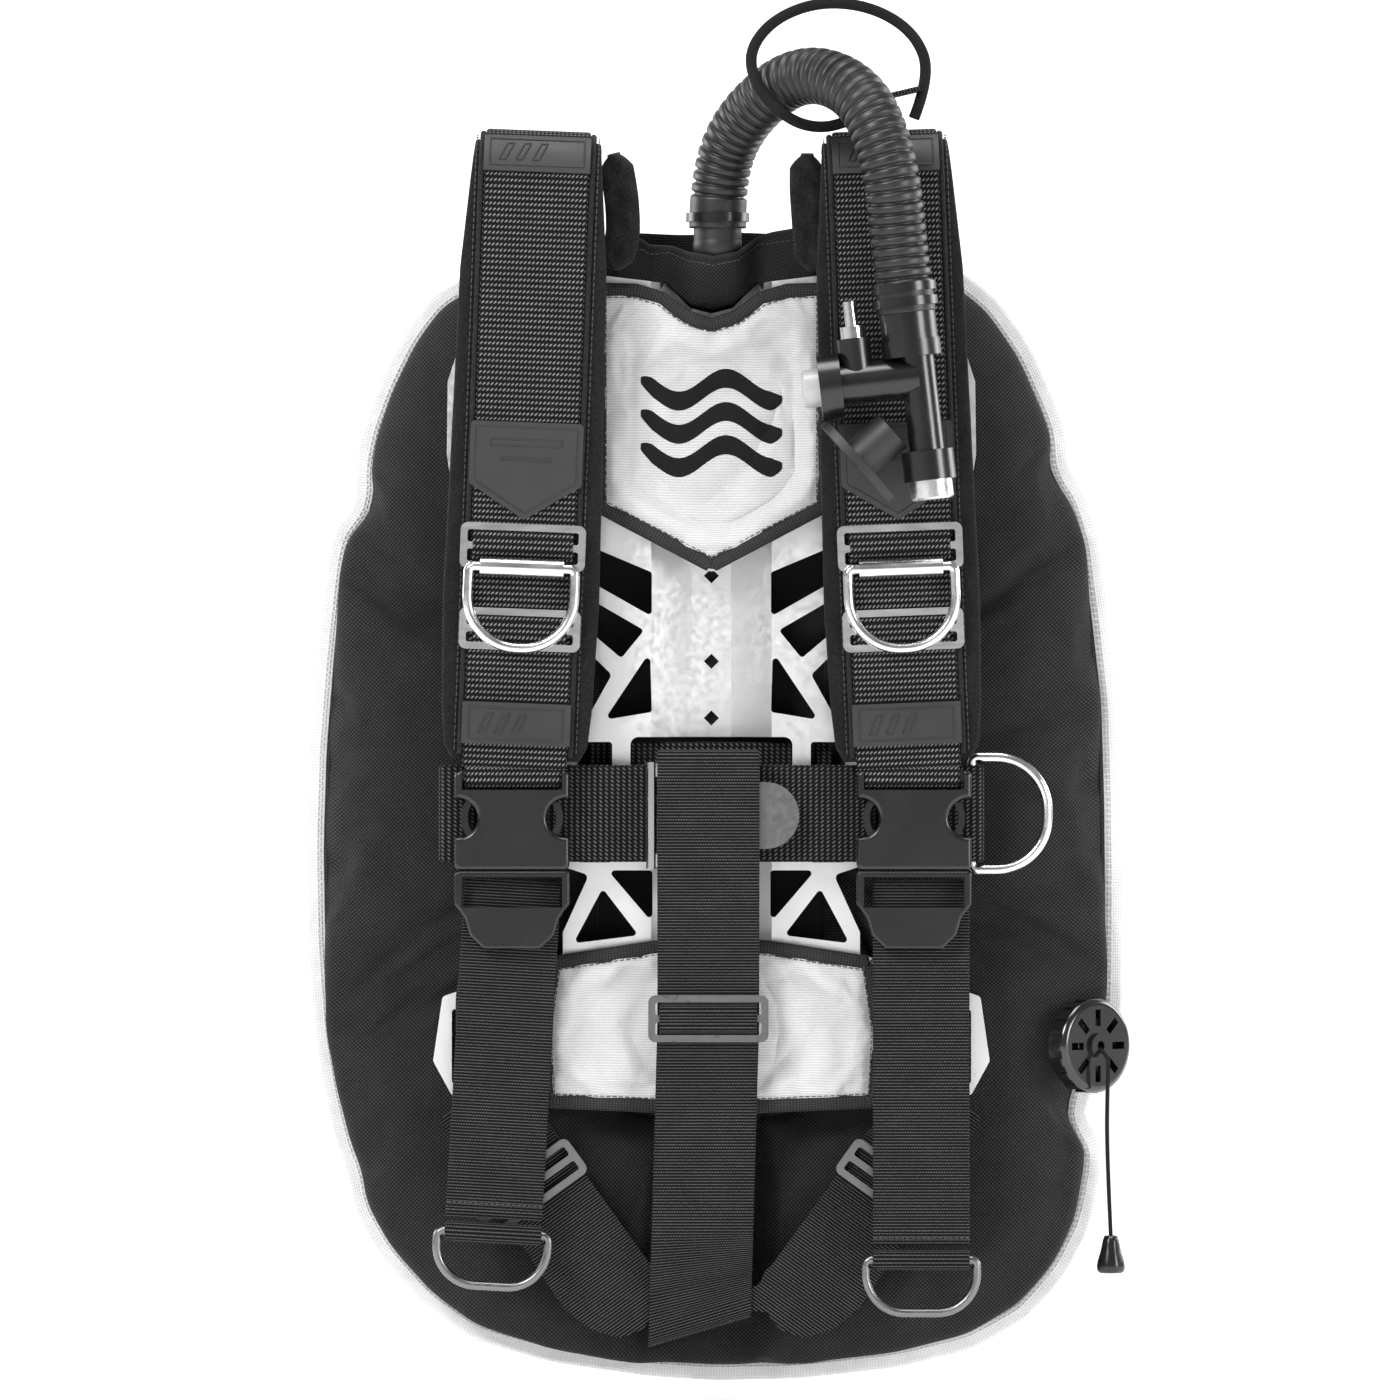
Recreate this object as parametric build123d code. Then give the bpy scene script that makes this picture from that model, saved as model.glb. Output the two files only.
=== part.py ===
"""Backplate-and-wing buoyancy compensator, modelled in millimetres.

Origin: middle of the two tank bolt holes, on the tank side of the wing's centre panel.
+Z points up, +Y points to the tank, -Y to the diver.  Every sub-part is written to parts/NODE.step.
"""
from build123d import *
from math import cos, pi, radians, sin, tan
import os

# ---------------------------------------------------------------- driving dimensions
WEBBING = 50.0                 # harness webbing width
WEB_T = 2.5                    # harness webbing thickness
GAP = 0.3                      # clearance between neighbouring pieces

BOLT_SPACING = 279.4           # tank bolt pattern, 11 inches
BOLT_HOLE_R = 4.5

PANEL_T = 2.5                  # wing centre panel, y -2.5 to 0
PLATE_T = 3.0                  # steel sheet of the backplate
TROUGH_FRONT_Y = -5.8          # front of the trough's flat bottom
TROUGH_DEPTH = 18.0
TROUGH_FLAT = 9.5              # half width of the flat bottom
TROUGH_HALF = 29.0             # half width at the panels
PLATE_BACK_Y = TROUGH_FRONT_Y + PLATE_T - TROUGH_DEPTH
PLATE_FRONT_Y = PLATE_BACK_Y - PLATE_T

WING_FRONT_Y = -19.0
WING_BACK_Y = 45.0
WING_WALL = 1.5
WING_EDGE_R = 30.0             # roundness of the tube's outer edge
SEAM_Y = (WING_FRONT_Y + WING_BACK_Y) / 2
BINDING_W = 10.0
BINDING_T = 3.0

PAD_T = 9.8
PAD_BACK_Y = PLATE_FRONT_Y - GAP
PAD_FRONT_Y = PAD_BACK_Y - PAD_T

STRAP_X = 89.0                 # middle of each shoulder strap
STRAP_LEAN = 2.2               # degrees that the straps spread downwards
SHOULDER_PAD_T = 8.0
ARCH_R = 19.0                  # shoulder arch, at the middle of the pad
ARCH_Y = -50.2
ARCH_Z = 241.0
STRAP_LOW_Y = -50.0            # middle of the pad on the chest
STRAP_SLOPE = 7.0              # degrees, from the arch down to the chest
STRAP_BEND_R = 150.0
STRAP_END_Z = -35.0

BELT_TOP_Z = -37.4
BELT_LOW_Z = -84.0
BELT_Z = (BELT_TOP_Z + BELT_LOW_Z) / 2
BELT_FRONT_Y = -41.0
BELT_FOLD_X = 131.0

BUCKLE_Y = -51.5               # middle of the side-release buckles
BUCKLE_X = {"left": -95.5, "right": 97.0}
TAIL_X = {"left": -95.2, "right": 100.5}
TAIL_LEAN = {"left": 3.2, "right": 0.0}
TAIL_DROP = {"left": -262.0, "right": -274.5}

HOSE_D = 27.5
BUNGEE_D = 5.4
DUMP_CORD_D = 2.0
INFLATOR_END = (93.0, -89.0, 178.0)
INFLATOR_TILT = 6.6            # degrees, lower end outwards
WING_VALVE_Z = -172.8
WING_VALVE_TILT = 42.0         # degrees from -Y towards +X

SIDES = {"left": -1, "right": 1}


# ---------------------------------------------------------------- helpers
def mirrored(half):
    """A closed outline from its right half, listed from top to bottom."""
    left = [(-x, z) for x, z in reversed(half) if x > 0.01]
    return list(half) + left


def slab(sketch, y_front, y_back):
    """A sketch drawn in (x, z), given thickness from y_front to y_back."""
    plane = Plane(origin=(0, y_back, 0), x_dir=(1, 0, 0), z_dir=(0, -1, 0))
    return extrude(plane * sketch, amount=y_back - y_front)


def block(x0, x1, y0, y1, z0, z1):
    """An upright box between the given limits."""
    centre = ((x0 + x1) / 2, (y0 + y1) / 2, (z0 + z1) / 2)
    return Pos(*centre) * Box(x1 - x0, y1 - y0, z1 - z0)


def rounded(points, radius):
    """A polygon with every corner rounded."""
    face = make_face(Polyline(*points, close=True))
    return fillet(face.vertices(), radius)


def rod(start, end, radius):
    """A round bar between two points."""
    axis = Vector(*end) - Vector(*start)
    return extrude(Plane(origin=tuple(start), z_dir=axis) * Circle(radius), amount=axis.length)


def ribbon(points, radii, side, width=WEBBING, thickness=WEB_T):
    """Flat webbing along a path that bends about the side direction."""
    path = FilletPolyline(*points, radius=radii)
    start = Plane(points[0], x_dir=side, z_dir=Vector(*points[1]) - Vector(*points[0]))
    return sweep(start * Rectangle(width, thickness), path=path)


def cord(name, points, diameter):
    """A round cord of straight runs joined by the largest arcs that the runs allow."""
    corners = [Vector(*p) for p in points]
    runs = [b - a for a, b in zip(corners, corners[1:])]
    radii = []
    for before, after in zip(runs, runs[1:]):
        turn = before.get_angle(after)
        radii.append(0.45 * min(before.length, after.length) / tan(radians(turn / 2)))
    path = FilletPolyline(*corners, radius=radii)
    solid = sweep(Plane(corners[0], z_dir=runs[0]) * Circle(diameter / 2), path=path)
    section = pi * diameter ** 2 / 4
    print(name, "radii", [round(r) for r in radii], "length", round(path.length, 1),
          "volume / section", round(solid.volume / section, 1))
    return solid


def slider_plate(width, height, thickness, bar=3.4):
    """A flat two-slot webbing slider, drawn in (x, z) about its middle, front at y = -thickness."""
    frame = RectangleRounded(width, height, 3.5)
    slot_height = (height - 3 * bar) / 2
    for side in (-1, 1):
        frame -= Pos(0, side * (slot_height + bar) / 2) * RectangleRounded(
            width - 2 * bar, slot_height, 1.2)
    return slab(frame, -thickness, 0)


def d_ring(width, height, wire, bow):
    """A round-wire D ring: its straight bar on X through the origin, its bow hanging down."""
    half = width / 2 - wire / 2
    low = -(height - wire / 2)
    points = [(-half, 0, 0), (half, 0, 0), (half, 0, low), (-half, 0, low)]
    path = FilletPolyline(*points, radius=[3, 3, bow, bow], close=True)
    return sweep((path ^ 0) * Circle(wire / 2), path=path)


def coil(radius, wire, length, turns):
    """A compression spring along +Z from the origin."""
    path = Helix(pitch=length / turns, height=length, radius=radius)
    return sweep((path ^ 0) * Circle(wire / 2), path=path, is_frenet=True)


nodes = {}


# ---------------------------------------------------------------- wing
WING_HALF = [(88, 217), (150, 182), (193, 45), (200, -100), (192, -215), (160, -300), (95, -335.5)]
WING_RADII = [90, 80, 400, 900, 300, 70, 120]
HOLE_HALF_X = 62.0
HOLE_TOP_Z = 150.0
HOLE_LOW_Z = -206.0
HOLE_CORNER_R = 40.0
TROUGH_POCKET = [(0, 185), (10, 187.5), (22, 199), (37, 200), (37, 120)]

wing_edge = make_face(FilletPolyline(
    *mirrored(WING_HALF), radius=WING_RADII + WING_RADII[::-1], close=True))


def hole_sketch(inset):
    """The opening in the middle of the wing, made larger by inset."""
    height = HOLE_TOP_Z - HOLE_LOW_Z
    return Pos(0, (HOLE_TOP_Z + HOLE_LOW_Z) / 2) * RectangleRounded(
        2 * (HOLE_HALF_X + inset), height + 2 * inset, HOLE_CORNER_R + inset)


def wing_tube(inset):
    """The inflated ring, every wall moved inwards by inset."""
    outline = offset(wing_edge, amount=-(BINDING_W + inset))
    body = slab(outline, WING_FRONT_Y + inset, WING_BACK_Y - inset)
    body = fillet(body.edges().filter_by(Plane.XZ), WING_EDGE_R - inset)
    hole = slab(hole_sketch(inset), WING_FRONT_Y - 1, WING_BACK_Y + 1)
    body -= hole
    pocket = make_face(Polyline(*mirrored(TROUGH_POCKET), close=True))
    if inset > 0:
        pocket = offset(pocket, amount=inset)
    return body - slab(pocket, WING_FRONT_Y - 1, -0.2 + inset)


valve_axis = Vector(sin(radians(WING_VALVE_TILT)), -cos(radians(WING_VALVE_TILT)), 0)
wing_side_x = 197.5 - BINDING_W - WING_EDGE_R
valve_seat = Vector(wing_side_x, SEAM_Y - 2, WING_VALVE_Z) + valve_axis * WING_EDGE_R
valve_plane = Plane(valve_seat, x_dir=(0, 0, 1), z_dir=valve_axis)
VALVE_NECK_R = 13.0

shell = wing_tube(0) - wing_tube(WING_WALL)
shell -= valve_plane * (Pos(0, 0, -4) * Cylinder(VALVE_NECK_R + GAP, 30))
front_half = block(-250, 250, WING_FRONT_Y - 5, SEAM_Y, -400, 300)
nodes["wing_front_shell"] = shell & front_half
nodes["wing_back_shell"] = shell - front_half
bladder = wing_tube(WING_WALL + GAP) - wing_tube(WING_WALL + GAP + 0.8)
bladder -= valve_plane * (Pos(0, 0, -14) * Cylinder(VALVE_NECK_R + 4, 30))
nodes["inner_bladder"] = bladder
binding = wing_edge - offset(wing_edge, amount=-(BINDING_W - GAP))
nodes["wing_edge_binding"] = slab(binding, SEAM_Y - BINDING_T / 2, SEAM_Y + BINDING_T / 2)

bolt_heights = (BOLT_SPACING / 2, -BOLT_SPACING / 2)
panel = slab(hole_sketch(-GAP), -PANEL_T, 0)
for z in bolt_heights:
    panel -= rod((0, -PANEL_T - 1, z), (0, 1, z), BOLT_HOLE_R)
nodes["wing_centre_panel"] = panel


# ---------------------------------------------------------------- backplate
PLATE_HALF = [(0, 180.5), (10, 183), (22, 194.5), (51, 198), (92, 193), (117, 178), (127, 147),
              (127.4, 112), (122, 78), (48, 6), (63, -21), (72, -30), (72.7, -86), (59, -90.5),
              (71.5, -118), (71.5, -129), (129.5, -149), (134, -180), (125, -196.5), (0, -201.6)]
WINDOWS = {
    "upper": [(28.7, 55.3), (56.9, 67.2), (88, 76), (86, 67), (55.9, 49.4), (28.7, 34)],
    "middle": [(32.4, 27.4), (43.4, 13.9), (66, 33), (62, 44.5)],
    "inner": [(29.5, 17.3), (28.7, -12), (51.6, -15.8)],
    "outer_low": [(52.4, -96.8), (35, -119.5), (66.5, -123.4)],
    "inner_low": [(50, -88.2), (28.4, -88.2), (28.4, -113.5)],
    "belt_slot": [(47.8, -26.4), (64.5, -26.4), (64.5, -84.4), (47.8, -84.4)],
    "shoulder_slot": [(61, 158), (113, 158), (113, 166), (61, 166)],
    "leg_slot": [(117, -155), (125, -155), (125, -191), (117, -191)],
}
DIAMOND_HEIGHTS = (53.8, 12.5, -14.9)
DIAMOND_SIDE = 5.2

fold = [(-140, PLATE_FRONT_Y), (-TROUGH_HALF, PLATE_FRONT_Y), (-TROUGH_FLAT, TROUGH_FRONT_Y),
        (TROUGH_FLAT, TROUGH_FRONT_Y), (TROUGH_HALF, PLATE_FRONT_Y), (140, PLATE_FRONT_Y),
        (140, PLATE_BACK_Y), (TROUGH_HALF - 2, PLATE_BACK_Y),
        (TROUGH_FLAT - 2, TROUGH_FRONT_Y + PLATE_T), (2 - TROUGH_FLAT, TROUGH_FRONT_Y + PLATE_T),
        (2 - TROUGH_HALF, PLATE_BACK_Y), (-140, PLATE_BACK_Y)]
folded_sheet = Pos(0, 0, -210) * extrude(make_face(Polyline(*fold, close=True)), amount=420)
plate_face = rounded(mirrored(PLATE_HALF), 2.4)
for outline in WINDOWS.values():
    for side in (1, -1):
        plate_face -= rounded([(side * x, z) for x, z in outline], 1.6)
plate_face -= Pos(0, -53) * RectangleRounded(78, 58, 4)
for z in DIAMOND_HEIGHTS:
    plate_face -= Pos(0, z) * Rot(0, 0, 45) * Rectangle(DIAMOND_SIDE, DIAMOND_SIDE)
plate = folded_sheet & slab(plate_face, PLATE_FRONT_Y - 2, 1)
for z in bolt_heights:
    plate -= rod((0, -10, z), (0, 0, z), BOLT_HOLE_R)
nodes["backplate"] = plate


# ---------------------------------------------------------------- back pads
UPPER_PAD = [(0, 177.6), (10.5, 181), (22.5, 190), (36, 194), (57.5, 194.5), (57.5, 85), (0, 54.7)]
LUMBAR_PAD = [(0, -121.4), (27, -122.4), (71.3, -128.6), (77, -165), (76, -199.7), (0, -203)]
nodes["upper_back_pad"] = slab(rounded(mirrored(UPPER_PAD), 3), PAD_FRONT_Y, PAD_BACK_Y)
nodes["lumbar_pad"] = slab(rounded(mirrored(LUMBAR_PAD), 3), PAD_FRONT_Y, PAD_BACK_Y)


# ---------------------------------------------------------------- shoulder straps
WEB_OFFSET = SHOULDER_PAD_T / 2 + GAP + WEB_T / 2   # webbing lies on the pad's outer side
WEB_Y = STRAP_LOW_Y - WEB_OFFSET                    # middle of the webbing on the chest
WEB_FRONT_Y = WEB_Y - WEB_T / 2


def strap_path(out, low_z, end_z):
    """Corners and radii of the shoulder arch, moved outwards from the pad's middle by out."""
    radius = ARCH_R + out
    rear_y = ARCH_Y + radius
    chest_y = STRAP_LOW_Y - out
    top = ARCH_Z + radius
    rise, run = sin(radians(STRAP_SLOPE)), cos(radians(STRAP_SLOPE))
    slope = (chest_y - ARCH_Y + run * radius) / rise     # length of the sloping stretch
    corners = [(0, rear_y, low_z), (0, rear_y, top), (0, ARCH_Y - radius * (1 + rise) / run, top),
               (0, chest_y, ARCH_Z - rise * radius - run * slope), (0, chest_y, end_z)]
    return corners, [radius - 0.1, radius - 0.1, STRAP_BEND_R - out]


PAD_OUTLINE = [(-29, 275), (29, 275), (35, 200), (37.5, 40), (36, -10), (31, -35),
               (-31, -35), (-36, -10), (-37.5, 40), (-35, 200)]


def on_strap(side, piece):
    """Move a piece from the strap's own frame, where the strap is at x = 0, to its side."""
    lean = STRAP_LEAN * -SIDES[side]
    return Pos(SIDES[side] * STRAP_X, 0, 100) * Rot(0, lean, 0) * Pos(0, 0, -100) * piece


def arch_sector(inner, outer, start, end, width):
    """Part of a sleeve round the arch, between two angles above the horizontal."""
    plane = Plane(origin=(-width / 2, ARCH_Y, ARCH_Z), x_dir=(0, -1, 0), z_dir=(1, 0, 0))
    ring = Circle(outer) - Circle(inner)
    reach = 3 * outer
    wedge = make_face(Polyline(
        (0, 0), (reach * cos(radians(start)), -reach * sin(radians(start))),
        (reach * cos(radians(end)), -reach * sin(radians(end))), close=True))
    return extrude(plane * (ring & wedge), amount=width)


shoulder_fittings = {"webbing_keepers": [], "strap_labels": [], "d_ring_sliders": [],
                     "strap_sliders": []}
SLIDER_Y = WEB_FRONT_Y - 0.4
D_RING_WIRE = 5.0
D_RING_Z = 57.0
D_RING_Y = SLIDER_Y - 4.7
LABEL_T = 1.2
for side, sign in SIDES.items():
    points, radii = strap_path(0, 199, STRAP_END_Z)
    pad = ribbon(points, radii, (1, 0, 0), 80, SHOULDER_PAD_T)
    pad &= slab(rounded(PAD_OUTLINE, 8), -120, 0)
    nodes[f"{side}_shoulder_pad"] = on_strap(side, pad)
    points, radii = strap_path(WEB_OFFSET, 172, -39.0)
    bend_z = points[3][2]
    webbing = ribbon(points, radii, (1, 0, 0), WEBBING, WEB_T)
    nodes[f"{side}_shoulder_webbing"] = on_strap(side, webbing)

    sleeve = ARCH_R + WEB_OFFSET + WEB_T / 2 + 0.2
    keeper = arch_sector(sleeve, sleeve + 2.2, 10, 52, 51)
    low_keeper = block(-26, 26, WEB_FRONT_Y - 2.7, WEB_FRONT_Y - 0.2, -27.8, -7.7)
    shoulder_fittings["webbing_keepers"] += [on_strap(side, keeper), on_strap(side, low_keeper)]

    label = slab(rounded([(-27, 127), (27, 127), (27, 97), (0, 80), (-27, 97)], 2), -LABEL_T, 0)
    label = Pos(0, WEB_FRONT_Y - 0.5, bend_z) * Rot(STRAP_SLOPE, 0, 0) * Pos(
        0, 0, -bend_z) * label
    shoulder_fittings["strap_labels"].append(on_strap(side, label))

    plate_z = 67.0
    slider = Pos(0, SLIDER_Y, plate_z) * slider_plate(60, 22, 2.0)
    barrel = rod((-20, D_RING_Y, D_RING_Z), (20, D_RING_Y, D_RING_Z), 4.5)
    barrel -= rod((-21, D_RING_Y, D_RING_Z), (21, D_RING_Y, D_RING_Z), D_RING_WIRE / 2 + 0.3)
    slider = slider + (barrel - block(-30, 30, SLIDER_Y + 0.01, 0, 0, 90))
    shoulder_fittings["d_ring_sliders"].append(on_strap(side, slider))
    ring = Pos(0, D_RING_Y, D_RING_Z) * d_ring(56, 41, D_RING_WIRE, 24.5)
    nodes[f"{side}_shoulder_d_ring"] = on_strap(side, ring)
    adjuster = Pos(0, SLIDER_Y, 27.4) * slider_plate(58, 20, 1.8)
    shoulder_fittings["strap_sliders"].append(on_strap(side, adjuster))
for name, pieces in shoulder_fittings.items():
    nodes[name] = Compound(children=[s for piece in pieces for s in piece.solids()])


# ---------------------------------------------------------------- side-release buckles and tails
BUCKLE_W = 55.0
BUCKLE_T = 13.0
BUCKLE_TOP_Z = -40.0
BUCKLE_JOIN_Z = -87.8
BUCKLE_END_Z = -125.3
TAIL_Y = BUCKLE_Y + 2.5
TAIL_TOP_Z = -92.5
TAIL_W = 46.5
BUCKLE_FRONT = BUCKLE_Y - BUCKLE_T / 2
BUCKLE_BACK = BUCKLE_Y + BUCKLE_T / 2
TAIL_RING_WIRE = 4.2

SIDE_CUT_R = 9.4               # finger cuts in the socket's sides
SIDE_CUT_Z = -62.6
CAVITY_HALF = 24.9
CAVITY_DEPTH = 8.6
PRONG_R = 15.5                 # outer curve of the clip's side prongs
PRONG_W = 3.2
CLIP_HALF = [(27.5, BUCKLE_JOIN_Z - GAP), (27.5, -104), (22.5, -110.5), (20, -119),
             (13.5, BUCKLE_END_Z)]
HALF_W = BUCKLE_W / 2
DEEP = CAVITY_DEPTH / 2

for side in SIDES:
    x = BUCKLE_X[side]
    socket_height = BUCKLE_TOP_Z - BUCKLE_JOIN_Z
    outline = Pos(0, BUCKLE_TOP_Z - socket_height / 2) * RectangleRounded(BUCKLE_W, socket_height, 3)
    for cut in (-1, 1):
        outline -= Pos(cut * (HALF_W - 1.5), SIDE_CUT_Z) * Circle(SIDE_CUT_R)
    socket = slab(outline, BUCKLE_FRONT, BUCKLE_BACK)
    socket = fillet(socket.edges().filter_by(Plane.XZ), 2.0)
    socket -= block(-CAVITY_HALF, CAVITY_HALF, BUCKLE_Y - DEEP, BUCKLE_Y + DEEP,
                    BUCKLE_JOIN_Z - 1, -52)
    socket -= block(-24, 24, BUCKLE_FRONT - 1, BUCKLE_BACK + 1, -49.2, -44.6)
    socket -= block(-24, 24, BUCKLE_FRONT - 1, BUCKLE_Y - 1.5, -45, BUCKLE_TOP_Z + 1)
    nodes[f"{side}_buckle_socket"] = Pos(x, 0, 0) * socket

    outline = make_face(Polyline(*mirrored(CLIP_HALF), close=True))
    clip = slab(fillet(outline.vertices(), 2.2), BUCKLE_FRONT, BUCKLE_BACK)
    clip = fillet(clip.edges().filter_by(Plane.XZ), 1.2)
    clip -= block(-24, 24, BUCKLE_FRONT - 1, BUCKLE_BACK + 1, -105.5, -91)
    clip -= block(-30, 30, BUCKLE_Y - 0.6, BUCKLE_BACK + 1, BUCKLE_END_Z - 1, TAIL_TOP_Z + 1.5)
    for prong in (-1, 1):
        bow = Pos(prong * (CAVITY_HALF - 0.5 - PRONG_R), SIDE_CUT_Z) * (
            Circle(PRONG_R) - Circle(PRONG_R - PRONG_W))
        bow &= Pos(prong * 22, SIDE_CUT_Z - 1) * Rectangle(14, 17)
        leg = Pos(prong * 18.3, -79.4) * Rectangle(4.4, 20.2)
        clip += slab(bow + leg, BUCKLE_Y - 3.8, BUCKLE_Y + 3.8)
    clip += block(-3, 3, BUCKLE_Y - 2.5, BUCKLE_Y + 2.5, BUCKLE_JOIN_Z - 1, -60)
    nodes[f"{side}_buckle_clip"] = Pos(x, 0, 0) * clip

    drop = TAIL_DROP[side]
    swing = Pos(TAIL_X[side], 0, TAIL_TOP_Z) * Rot(0, TAIL_LEAN[side], 0) * Pos(0, 0, -TAIL_TOP_Z)
    tail = block(-TAIL_W / 2, TAIL_W / 2, TAIL_Y - WEB_T / 2, TAIL_Y + WEB_T / 2,
                 drop + 2, TAIL_TOP_Z)
    eye = rod((-TAIL_W / 2, TAIL_Y, drop), (TAIL_W / 2, TAIL_Y, drop), 5.0)
    eye -= rod((-30, TAIL_Y, drop), (30, TAIL_Y, drop), TAIL_RING_WIRE / 2 + 0.4)
    tail = (tail - rod((-30, TAIL_Y, drop), (30, TAIL_Y, drop), 4.0)) + eye
    nodes[f"{side}_tail_webbing"] = swing * tail
    ring = Pos(0, TAIL_Y, drop) * d_ring(57.5, 27.5, TAIL_RING_WIRE, 19)
    nodes[f"{side}_tail_d_ring"] = swing * ring

for side, sign in SIDES.items():
    lower = ribbon([(sign * 121, -31, -172), (sign * 121, -35, -150), (sign * 112, -43, -118),
                    (sign * 104, -43.2, -106)], [20, 20], (0.9, 0, sign * 0.3), 30)
    nodes[f"{side}_lower_strap"] = lower


# ---------------------------------------------------------------- waist belt and buckle
BELT_REAR_Y = PLATE_BACK_Y + 0.4 + WEB_T / 2
BELT_INNER_Y = -31.0
belt_pieces = []
for side, sign in SIDES.items():
    fold_x = sign * (BELT_FOLD_X - WEB_T / 2)
    path = [(sign * 33, BELT_REAR_Y, BELT_Z), (sign * 53, BELT_REAR_Y, BELT_Z),
            (sign * 60, BELT_INNER_Y, BELT_Z), (fold_x, BELT_INNER_Y, BELT_Z),
            (fold_x, BELT_FRONT_Y, BELT_Z), (sign * 1.0, BELT_FRONT_Y, BELT_Z)]
    belt_pieces.append(ribbon(path, [4, 4, 4.9, 4.9], (0, 0, 1), BELT_TOP_Z - BELT_LOW_Z))
nodes["waist_belt"] = Compound(children=[s for piece in belt_pieces for s in piece.solids()])
REAR_BELT_Y = BELT_REAR_Y + WEB_T + 0.4
nodes["rear_belt"] = block(-58, 58, REAR_BELT_Y - WEB_T / 2, REAR_BELT_Y + WEB_T / 2, -76, -26.4)

RING_FOLD_X = BELT_FOLD_X - WEB_T / 2 - 4.9
WAIST_RING_Y = (BELT_INNER_Y + BELT_FRONT_Y) / 2
waist_ring = d_ring(59, 39, 5.0, 25)
nodes["waist_d_ring"] = Pos(RING_FOLD_X, WAIST_RING_Y, BELT_Z) * Rot(0, -90, 0) * waist_ring

BUCKLE_FRAME_Y = -45.5
LEVER_PIN = (-20.0, -50.8)
frame_sketch = Pos(-3, -61.5) * (RectangleRounded(52, 52, 4) - RectangleRounded(38, 42, 2))
frame_solid = slab(frame_sketch, BUCKLE_FRAME_Y - 3, BUCKLE_FRAME_Y)
for low, high in ((-86.5, -80), (-43, -36.5)):
    frame_solid += block(-24, -16, -53.6, BUCKLE_FRAME_Y, low, high)
frame_solid -= rod((*LEVER_PIN, -90), (*LEVER_PIN, -33), 1.5)
frame_solid -= rod((-28, -47, -90), (-28, -47, -33), 4.0)
nodes["waist_buckle_frame"] = frame_solid
nodes["waist_buckle_roller"] = rod((-28, -47, -87), (-28, -47, -36), 3.6)
nodes["waist_lever_pin"] = rod((*LEVER_PIN, -86.5), (*LEVER_PIN, -36.5), 1.5)
lever = slab(Pos(3, -61.5) * Rectangle(46, 32) + Pos(26, -61.5) * Circle(16), -52.3, -49.8)
lever += rod((*LEVER_PIN, -79.6), (*LEVER_PIN, -43.4), 2.8)
lever -= rod((*LEVER_PIN, -90), (*LEVER_PIN, -33), 1.65)
nodes["waist_buckle_lever"] = lever


# ---------------------------------------------------------------- crotch strap
CROTCH_X = -1.5
crotch = ribbon([(CROTCH_X, -35.5, -95), (CROTCH_X, -35.5, -31.2), (CROTCH_X, -57.3, -31.2),
                 (CROTCH_X, -57.3, -92), (CROTCH_X, -46, -140), (CROTCH_X, -39, -318),
                 (CROTCH_X, -31.5, -318), (CROTCH_X, -31.5, -292)],
                [6, 6, 40, 60, 3.6, 3.6], (1, 0, 0), 49)
nodes["crotch_strap"] = crotch
crotch_slider = Pos(CROTCH_X, -47.3, -159) * Rot(-1, 0, 0) * slider_plate(57.6, 22.5, 2.4)
nodes["crotch_slider"] = crotch_slider

LEG_Y = -27.4
LEG_SHAPE = [(0, -290), (29.5, -277.4), (97, -184), (131, -208), (71, -299), (44, -314), (0, -317)]
leg_face = make_face(Polyline(*mirrored(LEG_SHAPE), close=True))
nodes["crotch_y_webbing"] = slab(leg_face, LEG_Y - WEB_T, LEG_Y)
LEG_ANGLE = 35.8
leg_sliders = []
for side, sign in SIDES.items():
    slider = slider_plate(58, 20, 2.2)
    leg_sliders.append(
        Pos(sign * 88, LEG_Y - WEB_T - 0.4, -241) * Rot(0, sign * LEG_ANGLE, 0) * slider)
nodes["leg_sliders"] = Compound(children=[s for piece in leg_sliders for s in piece.solids()])


# ---------------------------------------------------------------- wing elbow, hose, bungee
ELBOW_X = 3.0
HOSE_START_Z = 221.0
wing_top_z = WING_HALF[0][1] - BINDING_W - WING_EDGE_R
elbow_axis = Vector(0, -cos(radians(45)), sin(radians(45)))
elbow_seat = Vector(ELBOW_X, SEAM_Y - 2, wing_top_z) + elbow_axis * WING_EDGE_R
elbow_bend = elbow_seat + elbow_axis * 20
ELBOW_Y = elbow_bend.Y
hose_route = [(ELBOW_X, ELBOW_Y, HOSE_START_Z), (ELBOW_X, ELBOW_Y, 248), (16, -36, 276),
              (44, -58, 296), (72, -83, 284), (85, -94.5, 250), (89.1, INFLATOR_END[1], 212),
              INFLATOR_END]
nodes["inflator_hose"] = cord("inflator_hose", hose_route, HOSE_D)

elbow = rod(elbow_seat + elbow_axis * 2.6, elbow_bend, 10.5)
elbow += Pos(*elbow_bend) * Sphere(11.8)
elbow += rod(elbow_bend, (ELBOW_X, ELBOW_Y, HOSE_START_Z), 11.5)
elbow -= block(-20, 30, ELBOW_Y - 20, ELBOW_Y + 20, HOSE_START_Z, HOSE_START_Z + 20)
nodes["wing_elbow"] = elbow
nodes["elbow_flange"] = rod(elbow_seat + elbow_axis * GAP, elbow_seat + elbow_axis * 2.6, 14.0)

bungee_route = [(84, -50, 270.9), (69, -53, 272.5), (54, -58, 267), (38, -68, 270),
                (23, -64, 284), (17, -52, 303), (29, -47, 320), (52, -46, 329),
                (78, -47, 326), (98, -48, 313), (105, -49, 293), (97, -50, 272.5)]
nodes["bungee_loop"] = cord("bungee_loop", bungee_route, BUNGEE_D)


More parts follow.
